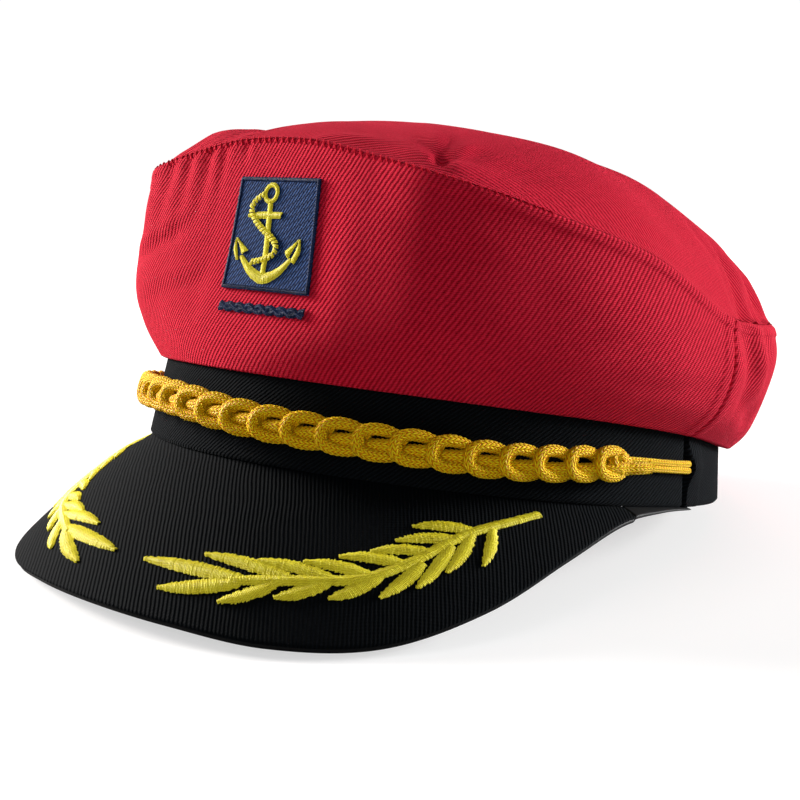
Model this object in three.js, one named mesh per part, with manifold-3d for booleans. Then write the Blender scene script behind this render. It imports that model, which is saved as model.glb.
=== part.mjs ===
import * as THREE from 'three';
import { mergeVertices } from 'three/addons/utils/BufferGeometryUtils.js';
import Module from 'manifold-3d';

const wasm = await Module();
wasm.setup();

// Sizes in millimetres. The front of the hat is -Y, its top is +Z.
// Angles are in degrees around the head oval, from the front towards the wearer's left.

// Fit
const CLEARANCE = 0.3;

// Band
const HEAD_LENGTH = 200.6;
const HEAD_WIDTH = 168.2;
const BAND_WALL = 2.2;
const BAND_HEIGHT = 24;
const BAND_LEAN = 2.7;
const TUCK_ANGLE = 91.8;
const TUCK_RISE = 2.6;
const TUCK_LENGTH_ANGLE = 6;
const TUCK_HEIGHT = 4.4;

// Crown
const CROWN_CLOTH = 1.6;
const CROWN_HEIGHT = 63.5;
const CROWN_FLARE = 12;
const SIDE_SEAM_ANGLE = 90;
const DOME_TOP = 103.5;
const DOME_FORWARD = 33;

// Peak
const PEAK_REACH = 36.7;
const PEAK_DROP = 36.7;
const PEAK_ARCH = 1.4;
const PEAK_TUCK = 1.6;
const COVER_CLOTH = 1.2;
const BOARD_THICKNESS = 2;
const BOARD_TIP_ANGLE = 95;
const COVER_END_ANGLE = 75;

// Golden cord
const BRAID_HEIGHT = 9.8;
const BRAID_THICKNESS = 6.8;
const BRAID_RISE = 12;
const BRAID_LINKS = 25;
const BRAID_END_ANGLE = 71;
const TAIL_STRAND = 2.6;

// Badge
const BADGE_WIDTH = 30.5;
const BADGE_HEIGHT = 30.9;
const BADGE_RISE = 60.8;
const BADGE_SHIFT = 5.8;
const BADGE_NARROWING = 2.7;
const BADGE_LEAN = 2;
const BADGE_CLOTH = 1.2;
const EMBROIDERY_THICKNESS = 0.9;
const LAYER_STEP = 0.01;
const WAVE_LENGTH = 31;
const WAVE_WIDTH = 2.8;
const WAVE_BELOW_BADGE = 5;
const WAVE_SHIFT = 1.6;

// Laurel sprigs
const LAUREL_TURN = 0.9;
const LEAF_WIDTH = 3.8;
const STEM_WIDTH = 2.6;

// How finely the round shapes are cut
const CROWN_STEP = 6;
const CROWN_ROWS = 9;
const BAND_STEP = 6;
const PEAK_STEP = 5;
const PEAK_ROWS = 4;
const CUTS_PER_LINK = 3;
const STITCH_LENGTH = 12;

const HALF_WIDTH = HEAD_WIDTH / 2 + BAND_WALL;
const HALF_LENGTH = HEAD_LENGTH / 2 + BAND_WALL;

// Crown wall, by angle from the front. Outs are shares of the flare, the fold's drop
// is a share of the band height, ups are shares of the crown height.
const CROWN_STATIONS = [
  { at: 0, foldOut: -0.08, foldDrop: 0.03, lowOut: -0.04, lowUp: 0.13, bulgeOut: -0.36, bulgeUp: 0.44, seamOut: -0.64, seamUp: 1.0 },
  { at: 12, foldOut: -0.08, foldDrop: 0.03, lowOut: 0.05, lowUp: 0.13, bulgeOut: -0.2, bulgeUp: 0.42, seamOut: -0.46, seamUp: 0.985 },
  { at: 24, foldOut: -0.06, foldDrop: 0.03, lowOut: 0.24, lowUp: 0.15, bulgeOut: 0.3, bulgeUp: 0.4, seamOut: 0.02, seamUp: 0.93 },
  { at: 35, foldOut: -0.05, foldDrop: 0.03, lowOut: 0.48, lowUp: 0.15, bulgeOut: 0.79, bulgeUp: 0.37, seamOut: 0.67, seamUp: 0.87 },
  { at: 53, foldOut: -0.02, foldDrop: 0.04, lowOut: 0.56, lowUp: 0.14, bulgeOut: 0.86, bulgeUp: 0.36, seamOut: 0.68, seamUp: 0.78 },
  { at: 70, foldOut: 0, foldDrop: 0.06, lowOut: 0.62, lowUp: 0.13, bulgeOut: 0.92, bulgeUp: 0.34, seamOut: 0.67, seamUp: 0.69 },
  { at: 90, foldOut: 0.05, foldDrop: 0.13, lowOut: 0.66, lowUp: 0.08, bulgeOut: 0.96, bulgeUp: 0.28, seamOut: 0.7, seamUp: 0.51 },
  { at: 117, foldOut: 0.12, foldDrop: 0.29, lowOut: 0.6, lowUp: 0.02, bulgeOut: 0.97, bulgeUp: 0.34, seamOut: 0.8, seamUp: 0.54 },
  { at: 180, foldOut: 0.12, foldDrop: 0.29, lowOut: 0.66, lowUp: 0.03, bulgeOut: 1.12, bulgeUp: 0.32, seamOut: 1.0, seamUp: 0.57 },
];

// Dents and soft folds in the crown wall, by signed angle; up and tall are shares of the
// crown height, deep is in millimetres, positive pushes in.
const WALL_DENTS = [
  { at: -52, up: 0.62, wide: 8, tall: 0.16, deep: 2.4 },
  { at: -30, up: 0.7, wide: 6, tall: 0.1, deep: -1.2 },
  { at: 30, up: 0.36, wide: 7, tall: 0.2, deep: 1.0 },
  { at: 62, up: 0.5, wide: 9, tall: 0.16, deep: -1.0 },
  { at: 84, up: 0.3, wide: 6, tall: 0.2, deep: 1.1 },
  { at: 104, up: 0.35, wide: 6, tall: 0.25, deep: -1.2 },
  { at: 140, up: 0.4, wide: 10, tall: 0.2, deep: 1.4 },
  { at: 200, up: 0.35, wide: 11, tall: 0.2, deep: 1.3 },
  { at: 238, up: 0.4, wide: 9, tall: 0.2, deep: -1.2 },
];

// Rise of the top panel from its seam (share 1) to its middle (share 0).
const DOME_RISE = [
  { at: 0, front: 1, back: 1 },
  { at: 0.2, front: 0.97, back: 0.995 },
  { at: 0.42, front: 0.82, back: 0.915 },
  { at: 0.62, front: 0.62, back: 0.8 },
  { at: 0.8, front: 0.4, back: 0.55 },
  { at: 0.9, front: 0.22, back: 0.315 },
  { at: 1, front: 0, back: 0 },
];
const DOME_SHARES = [1, 0.95, 0.88, 0.8, 0.68, 0.54, 0.38, 0.2, 0.06];

// How the plait sways up and down on its way round, by angle; share of its height on the band.
const BRAID_LINE = [
  { at: -71, sway: 0.02 },
  { at: -45, sway: 0.07 },
  { at: -20, sway: 0.09 },
  { at: -11, sway: 0.05 },
  { at: -3, sway: -0.025 },
  { at: 5.5, sway: -0.09 },
  { at: 18, sway: -0.14 },
  { at: 35, sway: -0.19 },
  { at: 46, sway: -0.23 },
  { at: 56, sway: -0.165 },
  { at: 64, sway: -0.08 },
  { at: 71, sway: -0.015 },
];

// Soft hollows in the top panel; side, back, wide and long are shares of the half oval.
const TOP_DENTS = [
  { side: -0.27, back: -0.7, wide: 0.09, long: 0.08, deep: 3.2 },
  { side: -0.42, back: -0.8, wide: 0.12, long: 0.09, deep: -2.6 },
  { side: 0.1, back: -0.6, wide: 0.16, long: 0.1, deep: 1.6 },
  { side: 0.42, back: 0.1, wide: 0.16, long: 0.3, deep: 1.4 },
  { side: -0.35, back: 0.3, wide: 0.2, long: 0.25, deep: 2.2 },
  { side: 0.05, back: 0.55, wide: 0.3, long: 0.12, deep: 2 },
];

// Outer upper edge of the peak, by angle from the front; shares of its reach and drop.
// Towards its tips the peak thins to a share of its full thickness.
const PEAK_EDGE = [
  { at: 0, out: 1, down: 0.985, thin: 1 },
  { at: 12, out: 1, down: 0.99, thin: 1 },
  { at: 24, out: 0.987, down: 1, thin: 1 },
  { at: 36, out: 0.883, down: 0.917, thin: 1 },
  { at: 48, out: 0.66, down: 0.655, thin: 1 },
  { at: 60, out: 0.393, down: 0.314, thin: 0.95 },
  { at: 72, out: 0.164, down: 0.074, thin: 0.7 },
  { at: 84, out: 0.038, down: 0.014, thin: 0.4 },
  { at: 96, out: 0.008, down: 0.01, thin: 0.25 },
];

// Anchor, seen from the front; shares of the badge height from the badge's middle.
const ANCHOR_RING = { side: -0.096, up: 0.36, outer: 0.092, inner: 0.048 };
const ANCHOR_STOCK = [
  { side: -0.32, up: 0.156, thick: 0.062 },
  { side: 0.067, up: 0.168, thick: 0.062 },
];
const ANCHOR_SHANK = [
  { side: -0.082, up: 0.29, thick: 0.058 },
  { side: -0.005, up: -0.38, thick: 0.058 },
];
const ANCHOR_ARM = [
  { side: -0.315, up: -0.2, thick: 0.05 },
  { side: -0.157, up: -0.337, thick: 0.085 },
  { side: 0.01, up: -0.388, thick: 0.11 },
  { side: 0.159, up: -0.327, thick: 0.085 },
  { side: 0.278, up: -0.2, thick: 0.05 },
];
const ANCHOR_FLUKES = [
  [
    { side: -0.411, up: -0.046 },
    { side: -0.247, up: -0.143 },
    { side: -0.3, up: -0.205 },
    { side: -0.373, up: -0.245 },
    { side: -0.429, up: -0.129 },
  ],
  [
    { side: 0.345, up: -0.026 },
    { side: 0.191, up: -0.15 },
    { side: 0.25, up: -0.205 },
    { side: 0.335, up: -0.245 },
    { side: 0.372, up: -0.1 },
  ],
];
const ANCHOR_ROPE = [
  { side: -0.165, up: 0.37, thick: 0.05 },
  { side: -0.274, up: 0.279, thick: 0.056 },
  { side: -0.286, up: 0.208, thick: 0.058 },
  { side: -0.208, up: 0.109, thick: 0.06 },
  { side: -0.095, up: 0.029, thick: 0.06 },
  { side: 0.001, up: -0.024, thick: 0.06 },
  { side: 0.087, up: -0.096, thick: 0.058 },
  { side: 0.071, up: -0.181, thick: 0.056 },
  { side: -0.03, up: -0.222, thick: 0.05 },
  { side: -0.179, up: -0.259, thick: 0.045 },
];

// Laurel sprig: its stem, then its leaves from tip to joint, by angle and by distance from
// the peak's root as a share of the peak's reach.
const STEM_LINE = [
  { at: 15.6, root: 1.045 },
  { at: 22.9, root: 0.965 },
  { at: 29.6, root: 0.892 },
  { at: 33.6, root: 0.807 },
  { at: 37.9, root: 0.659 },
  { at: 42.3, root: 0.48 },
  { at: 46.6, root: 0.35 },
  { at: 56.1, root: 0.168 },
];
const LEAVES = [
  { at: 2.9, root: 1.041, toAt: 17.1, toRoot: 1.021 },
  { at: 10.9, root: 0.89, toAt: 22.9, toRoot: 0.943 },
  { at: 18.1, root: 0.851, toAt: 28.3, toRoot: 0.901 },
  { at: 23.9, root: 0.796, toAt: 32.6, toRoot: 0.834 },
  { at: 28.1, root: 0.709, toAt: 36.3, toRoot: 0.702 },
  { at: 31.9, root: 0.629, toAt: 39.3, toRoot: 0.586 },
  { at: 34.9, root: 0.516, toAt: 43.1, toRoot: 0.456 },
  { at: 36.9, root: 0.372, toAt: 45.6, toRoot: 0.373 },
  { at: 7.6, root: 1.222, toAt: 17.1, toRoot: 1.048 },
  { at: 15.9, root: 1.219, toAt: 21.6, toRoot: 0.992 },
  { at: 22.1, root: 1.108, toAt: 27.6, toRoot: 0.922 },
  { at: 28.3, root: 1.049, toAt: 33.6, toRoot: 0.816 },
  { at: 34.1, root: 0.984, toAt: 38.6, toRoot: 0.687 },
  { at: 38.3, root: 0.883, toAt: 42.3, toRoot: 0.522 },
  { at: 41.9, root: 0.74, toAt: 45.1, toRoot: 0.41 },
  { at: 46.6, root: 0.666, toAt: 48.3, toRoot: 0.35 },
];

const RED_COTTON = new THREE.MeshStandardMaterial({ color: 0xb5162b, roughness: 0.9, metalness: 0 });
const BLACK_COTTON = new THREE.MeshStandardMaterial({ color: 0x12161d, roughness: 0.9, metalness: 0 });
const BLACK_BOARD = new THREE.MeshStandardMaterial({ color: 0x0d0f13, roughness: 0.45, metalness: 0 });
const GOLD_CORD = new THREE.MeshStandardMaterial({ color: 0xe8b420, roughness: 0.7, metalness: 0 });
const NAVY_THREAD = new THREE.MeshStandardMaterial({ color: 0x1f3b73, roughness: 0.6, metalness: 0 });
const YELLOW_THREAD = new THREE.MeshStandardMaterial({ color: 0xe6dd3c, roughness: 0.5, metalness: 0 });

const rad = THREE.MathUtils.degToRad;
const lerp = THREE.MathUtils.lerp;

// Reads one column of a table at a place between its rows, along a smooth curve.
function readTable(rows, column, place) {
  const last = rows.length - 1;
  let row = 0;
  while (row < last - 1 && place > rows[row + 1].at) row += 1;
  const slope = (k) => {
    if (k === 0 || k === last) return 0;
    return (rows[k + 1][column] - rows[k - 1][column]) / (rows[k + 1].at - rows[k - 1].at);
  };
  const a = rows[row];
  const b = rows[row + 1];
  const span = b.at - a.at;
  const t = THREE.MathUtils.clamp((place - a.at) / span, 0, 1);
  const rise = t * t * (3 - 2 * t);
  const leave = t * (1 - t) * (1 - t) * span * slope(row);
  const arrive = t * t * (1 - t) * span * slope(row + 1);
  return lerp(a[column], b[column], rise) + leave - arrive;
}

// Angle folded to the 0 to 180 side.
function sideAngle(angle) {
  const turned = THREE.MathUtils.euclideanModulo(angle, 360);
  return Math.min(turned, 360 - turned);
}

function steps(from, to, largest) {
  const count = Math.ceil((to - from) / largest - 1e-6);
  return Array.from({ length: count + 1 }, (_, i) => lerp(from, to, i / count));
}

function hump(offset, width) {
  return Math.exp(-((offset / width) ** 2));
}

// A point on the head oval grown outwards.
function ovalPoint(angle, out, z) {
  const x = (HALF_WIDTH + out) * Math.sin(rad(angle));
  const y = -(HALF_LENGTH + out) * Math.cos(rad(angle));
  return new THREE.Vector3(x, y, z);
}

// Closes one end loop of a loft.
function capIndices(points, start) {
  const middle = new THREE.Vector3();
  for (const p of points) middle.addScaledVector(p, 1 / points.length);
  const normal = new THREE.Vector3();
  points.forEach((p, i) => {
    const next = points[(i + 1) % points.length];
    const a = p.clone().sub(middle);
    const b = next.clone().sub(middle);
    normal.add(a.cross(b));
  });
  normal.normalize();
  const across = points[0].clone().sub(middle).projectOnPlane(normal).normalize();
  const along = normal.clone().cross(across);
  const flat = points.map((p) => {
    const arm = p.clone().sub(middle);
    return new THREE.Vector2(arm.dot(across), arm.dot(along));
  });
  const faces = THREE.ShapeUtils.triangulateShape(flat, []);
  return faces.flatMap(([a, b, c]) => {
    const ab = flat[b].clone().sub(flat[a]);
    const ac = flat[c].clone().sub(flat[a]);
    return ab.cross(ac) > 0 ? [start + a, start + b, start + c] : [start + a, start + c, start + b];
  });
}

// A closed solid through matching loops of points.
function loft(loops) {
  const count = loops[0].length;
  const points = loops.flat();
  const index = [];
  for (let i = 0; i < loops.length - 1; i += 1) {
    for (let j = 0; j < count; j += 1) {
      const a = i * count + j;
      const b = i * count + ((j + 1) % count);
      index.push(a, b, b + count, a, b + count, a + count);
    }
  }
  const lastStart = points.length - count;
  index.push(...capIndices(loops[loops.length - 1], lastStart));
  index.push(...capIndices(loops[0], 0).reverse());
  let volume = 0;
  for (let i = 0; i < index.length; i += 3) {
    const [a, b, c] = [points[index[i]], points[index[i + 1]], points[index[i + 2]]];
    volume += a.dot(b.clone().cross(c));
  }
  if (volume < 0) index.reverse();
  const geometry = new THREE.BufferGeometry().setFromPoints(points);
  geometry.setIndex(index);
  return geometry;
}

// Outer face of the band. The back piece swells where it covers the cord's ends.
function bandOut(z) {
  return (-BAND_LEAN * z) / BAND_HEIGHT;
}

function tuckSwell(angle, z) {
  const past = sideAngle(angle) - TUCK_ANGLE;
  const along = past < 0 ? 0 : hump(past, TUCK_LENGTH_ANGLE);
  return TUCK_RISE * along * hump(z - BRAID_RISE, TUCK_HEIGHT);
}

function bandLoop(angle, swells) {
  const heights = swells ? [0, 0.2, 0.35, 0.5, 0.65, 0.8, 1] : [0, 0.5, 1];
  const outer = heights.map((share) => {
    const z = share * BAND_HEIGHT;
    const rise = swells ? tuckSwell(angle, z) : 0;
    return ovalPoint(angle, bandOut(z) + rise, z);
  });
  const inner = [1, 0].map((share) => {
    const z = share * BAND_HEIGHT;
    return ovalPoint(angle, bandOut(z) - BAND_WALL, z);
  });
  return outer.concat(inner);
}

function buildBand(from, to, swells) {
  return loft(steps(from, to, BAND_STEP).map((angle) => bandLoop(angle, swells)));
}

// Visible line of the crown wall at an angle, from its fold up to the top seam.
function crownLine(angle) {
  const side = sideAngle(angle);
  const read = (column) => readTable(CROWN_STATIONS, column, side);
  const up = (share) => BAND_HEIGHT + share * CROWN_HEIGHT;
  const fold = new THREE.Vector2(read('foldOut') * CROWN_FLARE, BAND_HEIGHT * (1 - read('foldDrop')));
  const low = new THREE.Vector2(read('lowOut') * CROWN_FLARE, up(read('lowUp')));
  const bulge = new THREE.Vector2(read('bulgeOut') * CROWN_FLARE, up(read('bulgeUp')));
  const seam = new THREE.Vector2(read('seamOut') * CROWN_FLARE, up(read('seamUp')));
  const line = new THREE.SplineCurve([fold, low, bulge, seam]).getPoints(CROWN_ROWS);
  for (const p of line) p.x -= wallDent(angle, p.y, fold.y, seam.y);
  return line;
}

// Depth of the dents in the wall; they fade out at the fold and at the seam.
function wallDent(angle, z, foldZ, seamZ) {
  const share = (z - foldZ) / (seamZ - foldZ);
  const fade = Math.max(0, 4 * share * (1 - share));
  let depth = 0;
  for (const dent of WALL_DENTS) {
    const turned = THREE.MathUtils.euclideanModulo(angle - dent.at + 180, 360) - 180;
    const up = (z - BAND_HEIGHT) / CROWN_HEIGHT - dent.up;
    depth += dent.deep * hump(turned, dent.wide) * hump(up, dent.tall);
  }
  return depth * fade;
}

// Section of the crown wall: up its outside, down its inside, then the hem on the band.
function crownLoop(angle) {
  const line = crownLine(angle);
  const outer = line.map((p) => ovalPoint(angle, p.x, p.y));
  const inner = [];
  for (let i = line.length - 1; i > 1; i -= 1) {
    const along = line[Math.min(i + 1, line.length - 1)].clone().sub(line[i - 1]).normalize();
    const out = line[i].x - along.y * CROWN_CLOTH;
    const z = line[i].y + along.x * CROWN_CLOTH;
    inner.push(ovalPoint(angle, out, Math.min(z, line[line.length - 1].y)));
  }
  const hemZ = BAND_HEIGHT + CLEARANCE;
  const hemOut = bandOut(BAND_HEIGHT) - CROWN_CLOTH;
  const faceZ = line[0].y + CLEARANCE;
  const hem = [
    ovalPoint(angle, hemOut, hemZ + CROWN_CLOTH),
    ovalPoint(angle, hemOut, hemZ),
    ovalPoint(angle, bandOut(BAND_HEIGHT) + CLEARANCE, hemZ),
    ovalPoint(angle, bandOut(faceZ) + tuckSwell(angle, faceZ) + CLEARANCE, faceZ),
  ];
  return outer.concat(inner, hem);
}

function buildCrownWall(from, to) {
  const half = THREE.MathUtils.radToDeg(CLEARANCE / HALF_LENGTH) / 2;
  const angles = steps(from, to, CROWN_STEP);
  angles[0] += half;
  angles[angles.length - 1] -= half;
  return loft(angles.map(crownLoop));
}

// Top panel: a point by angle and share of the way from its middle to the seam.
function topPoint(angle, share) {
  const line = crownLine(angle);
  const seam = line[line.length - 1];
  const edge = ovalPoint(angle, seam.x, seam.y + CLEARANCE);
  const middle = new THREE.Vector3(0, -DOME_FORWARD, edge.z);
  const point = middle.lerp(edge, share);
  const towardsBack = THREE.MathUtils.smoothstep(sideAngle(angle), 15, 80);
  const front = readTable(DOME_RISE, 'front', share);
  const back = readTable(DOME_RISE, 'back', share);
  point.z += (DOME_TOP - edge.z) * lerp(front, back, towardsBack);
  const fade = Math.min(1, 6 * (1 - share));
  for (const dent of TOP_DENTS) {
    const side = hump(point.x / HALF_WIDTH - dent.side, dent.wide);
    const along = hump(point.y / HALF_LENGTH - dent.back, dent.long);
    point.z -= fade * dent.deep * side * along;
  }
  return point;
}

// The panel's underside, one cloth thickness in from its face.
function topUnder(angle, share) {
  const point = topPoint(angle, share);
  if (share === 1) {
    const inwards = new THREE.Vector3(point.x, point.y, 0).normalize();
    return point.addScaledVector(inwards, -CROWN_CLOTH);
  }
  const small = 0.01;
  const outwards = topPoint(angle, share + small).sub(topPoint(angle, share - small));
  const around = topPoint(angle + 1, share).sub(topPoint(angle - 1, share));
  const normal = around.cross(outwards).normalize();
  if (normal.z < 0) normal.negate();
  return point.addScaledVector(normal, -CROWN_CLOTH);
}

function buildCrownTop() {
  const angles = steps(0, 360 - CROWN_STEP, CROWN_STEP);
  const face = DOME_SHARES.map((share) => angles.map((angle) => topPoint(angle, share)));
  const under = DOME_SHARES.map((share) => angles.map((angle) => topUnder(angle, share)));
  return loft(face.reverse().concat(under));
}

// Peak: a point by angle, share of the way from its root to its edge, and depth below the face.
function peakSection(angle) {
  const side = sideAngle(angle);
  const root = new THREE.Vector2(-PEAK_TUCK, -CLEARANCE);
  const out = readTable(PEAK_EDGE, 'out', side) * PEAK_REACH;
  const down = readTable(PEAK_EDGE, 'down', side) * PEAK_DROP;
  const edge = new THREE.Vector2(out, -CLEARANCE - down);
  const slope = edge.clone().sub(root);
  const length = slope.length();
  const normal = new THREE.Vector2(-slope.y, slope.x).normalize();
  const arch = PEAK_ARCH * Math.min(1, length / PEAK_REACH);
  return { root, edge, normal, arch, length };
}

function peakPoint(angle, share, depth) {
  const { root, edge, normal, arch } = peakSection(angle);
  const point = root.clone().lerp(edge, share);
  point.addScaledVector(normal, arch * 4 * share * (1 - share));
  const up = new THREE.Vector2(0, 1).lerp(normal, Math.min(1, share * 4)).normalize();
  point.addScaledVector(up, -depth);
  return ovalPoint(angle, point.x, point.y);
}

function peakThin(angle) {
  return readTable(PEAK_EDGE, 'thin', sideAngle(angle));
}

function buildPeakLayer(endAngle, faceDepth, thickness) {
  const shares = steps(0, 1, 1 / PEAK_ROWS);
  return loft(steps(-endAngle, endAngle, PEAK_STEP).map((angle) => {
    const top = faceDepth(angle);
    const bottom = top + thickness * peakThin(angle);
    const upper = shares.map((share) => peakPoint(angle, share, top));
    const lower = shares.map((share) => peakPoint(angle, share, bottom));
    return upper.concat(lower.reverse());
  }));
}

function boardDepth(angle) {
  return COVER_CLOTH * peakThin(angle) + CLEARANCE;
}

// Golden plait: an oval rope along the band, swelling at every link.
function cordRise(angle) {
  return BRAID_RISE * (1 + readTable(BRAID_LINE, 'sway', angle));
}

function ovalLoop(angle, outMiddle, zMiddle, halfThick, halfHigh) {
  return steps(0, 315, 45).map((turn) => {
    const out = outMiddle + halfThick * Math.cos(rad(turn));
    const z = zMiddle + halfHigh * Math.sin(rad(turn));
    return ovalPoint(angle, out, z);
  });
}

function buildBraid() {
  const cuts = BRAID_LINKS * CUTS_PER_LINK;
  const loops = [];
  for (let i = 0; i <= cuts; i += 1) {
    const angle = lerp(-BRAID_END_ANGLE, BRAID_END_ANGLE, i / cuts);
    const swell = Math.abs(Math.sin((Math.PI * i) / CUTS_PER_LINK));
    const ending = Math.min(1, 0.45 + Math.min(i, cuts - i) * 0.3);
    const halfHigh = (BRAID_HEIGHT / 2) * lerp(0.84, 1, swell) * ending;
    const halfThick = (BRAID_THICKNESS / 2) * lerp(0.8, 1, swell) * ending;
    const z = cordRise(angle);
    const out = bandOut(z - halfHigh) + CLEARANCE + BRAID_THICKNESS / 2;
    loops.push(ovalLoop(angle, out, z, halfThick, halfHigh));
  }
  return loft(loops);
}

// Doubled tail: two thin strands side by side, fused along their touching line.
function buildTail(side) {
  const radius = TAIL_STRAND / 2;
  const gap = THREE.MathUtils.radToDeg(CLEARANCE / HALF_WIDTH);
  const from = BRAID_END_ANGLE + gap;
  const to = TUCK_ANGLE - gap;
  return loft(steps(from, to, BAND_STEP / 2).map((angle) => {
    const z = cordRise(side * angle);
    const out = bandOut(z - TAIL_STRAND) + CLEARANCE + radius;
    const upper = steps(-60, 240, 50).map((turn) => [radius * Math.cos(rad(turn)), radius * Math.sin(rad(turn))]);
    const lower = steps(120, 420, 50).map((turn) => [radius * Math.cos(rad(turn)), radius * Math.sin(rad(turn))]);
    const shift = radius * Math.cos(rad(30));
    const loop = upper.map(([x, y]) => [x, y + shift]).concat(lower.slice(1, -1).map(([x, y]) => [x, y - shift]));
    return loop.map(([x, y]) => ovalPoint(side * angle, out + x, z + y));
  }));
}

// Place on the front of the crown at a distance from the middle line and a height.
function frontPoint(x, z, lift) {
  let angle = 0;
  let out = 0;
  for (let round = 0; round < 5; round += 1) {
    const line = crownLine(angle);
    let row = 0;
    while (row < line.length - 2 && line[row + 1].y < z) row += 1;
    const t = (z - line[row].y) / (line[row + 1].y - line[row].y);
    out = lerp(line[row].x, line[row + 1].x, t);
    angle = THREE.MathUtils.radToDeg(Math.asin(x / (HALF_WIDTH + out)));
  }
  return ovalPoint(angle, out + lift, z);
}

function buildPatch() {
  const bottom = BADGE_RISE - BADGE_HEIGHT / 2;
  const heights = steps(0, 1, 1 / 6);
  return loft(steps(-0.5, 0.5, 1 / 8).map((across) => {
    const face = (share, lift) => {
      const width = BADGE_WIDTH + BADGE_NARROWING * (0.5 - share);
      const middle = BADGE_SHIFT + BADGE_LEAN * (0.5 - share);
      return frontPoint(middle + across * width, bottom + share * BADGE_HEIGHT, lift);
    };
    const outer = heights.map((share) => face(share, CLEARANCE + BADGE_CLOTH));
    const inner = heights.map((share) => face(share, CLEARANCE));
    return outer.concat(inner.reverse());
  }));
}

// Flat thread shapes: outlines joined into one solid, cut fine, then bent on to the cloth.
function toSolid(geometry) {
  const bare = geometry.clone();
  bare.deleteAttribute('normal');
  bare.deleteAttribute('uv');
  const merged = mergeVertices(bare, 1e-4);
  return new wasm.Manifold(new wasm.Mesh({
    numProp: 3,
    vertProperties: Float32Array.from(merged.attributes.position.array),
    triVerts: Uint32Array.from(merged.index.array),
  }));
}

function joinThread(shapes, bend) {
  const parts = shapes.map((shape, layer) => {
    const depth = EMBROIDERY_THICKNESS + layer * LAYER_STEP;
    const options = { depth, bevelEnabled: false, curveSegments: 6 };
    const prism = new THREE.ExtrudeGeometry(shape, options);
    prism.translate(0, 0, (shapes.length - layer) * LAYER_STEP);
    return toSolid(prism);
  });
  const whole = wasm.Manifold.union(parts).refineToLength(STITCH_LENGTH);
  const mesh = whole.getMesh();
  const points = [];
  for (let i = 0; i < mesh.vertProperties.length; i += 3) {
    points.push(bend(mesh.vertProperties[i], mesh.vertProperties[i + 1], mesh.vertProperties[i + 2]));
  }
  const geometry = new THREE.BufferGeometry().setFromPoints(points);
  geometry.setIndex(Array.from(mesh.triVerts));
  return geometry;
}

// Outline of a line of changing thickness.
function strokeShape(rows, cuts) {
  const curve = new THREE.SplineCurve(rows.map((row) => new THREE.Vector2(row.x, row.y)));
  const left = [];
  const right = [];
  for (let i = 0; i <= cuts; i += 1) {
    const t = i / cuts;
    const place = t * (rows.length - 1);
    const row = Math.min(Math.floor(place), rows.length - 2);
    const half = lerp(rows[row].thick, rows[row + 1].thick, place - row) / 2;
    const point = curve.getPoint(t);
    const along = curve.getTangent(t);
    const across = new THREE.Vector2(-along.y, along.x);
    left.push(point.clone().addScaledVector(across, half));
    right.push(point.clone().addScaledVector(across, -half));
  }
  return new THREE.Shape(left.concat(right.reverse()));
}

function badgeRow(row) {
  return { x: row.side * BADGE_HEIGHT, y: row.up * BADGE_HEIGHT, thick: (row.thick || 0) * BADGE_HEIGHT };
}

function buildAnchor() {
  const middle = badgeRow(ANCHOR_RING);
  const ring = new THREE.Shape();
  ring.absarc(middle.x, middle.y, ANCHOR_RING.outer * BADGE_HEIGHT, 0, 2 * Math.PI);
  const hole = new THREE.Path();
  hole.absarc(middle.x, middle.y, ANCHOR_RING.inner * BADGE_HEIGHT, 0, 2 * Math.PI, true);
  ring.holes.push(hole);
  const flukes = ANCHOR_FLUKES.map((rows) => new THREE.Shape(rows.map((row) => {
    const { x, y } = badgeRow(row);
    return new THREE.Vector2(x, y);
  })));
  const shapes = [
    ring,
    strokeShape(ANCHOR_STOCK.map(badgeRow), 1),
    strokeShape(ANCHOR_SHANK.map(badgeRow), 1),
    strokeShape(ANCHOR_ARM.map(badgeRow), 10),
    strokeShape(ANCHOR_ROPE.map(badgeRow), 18),
    ...flukes,
  ];
  const lift = 2 * CLEARANCE + BADGE_CLOTH;
  return joinThread(shapes, (x, y, rise) => frontPoint(BADGE_SHIFT + x, BADGE_RISE + y, lift + rise));
}

function buildWave() {
  const middle = BADGE_RISE - BADGE_HEIGHT / 2 - WAVE_BELOW_BADGE;
  const twist = steps(-0.5, 0.5, 1 / 8);
  const strands = [-1, 1].map((phase) => strokeShape(twist.map((share, i) => ({
    x: share * WAVE_LENGTH,
    y: phase * (i % 2 === 0 ? 1 : -1) * WAVE_WIDTH * 0.25,
    thick: WAVE_WIDTH * 0.5,
  })), 24));
  const across = BADGE_SHIFT + WAVE_SHIFT;
  return joinThread(strands, (x, y, rise) => frontPoint(across + x, middle + y, CLEARANCE + rise));
}

// Laurel sprigs lie in a flat sheet of arc length and distance from the peak's root.
const ARC_PER_DEGREE = rad(HALF_LENGTH + PEAK_REACH / 2);

function sprigPoint(angle, root) {
  return new THREE.Vector2(angle * ARC_PER_DEGREE, root * PEAK_REACH);
}

function leafShape(tip, stemPlace) {
  const along = stemPlace.clone().sub(tip).normalize();
  const across = new THREE.Vector2(-along.y, along.x);
  const rows = [
    { share: 0, half: 0.12 },
    { share: 0.3, half: 0.42 },
    { share: 0.65, half: 0.5 },
    { share: 1, half: 0.25 },
  ];
  const length = stemPlace.distanceTo(tip) + STEM_WIDTH / 2;
  const edge = (row, side) => tip.clone()
    .addScaledVector(along, row.share * length)
    .addScaledVector(across, side * row.half * LEAF_WIDTH);
  const there = rows.map((row) => edge(row, 1));
  const back = rows.slice().reverse().map((row) => edge(row, -1));
  return new THREE.Shape(there.concat(back));
}

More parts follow.
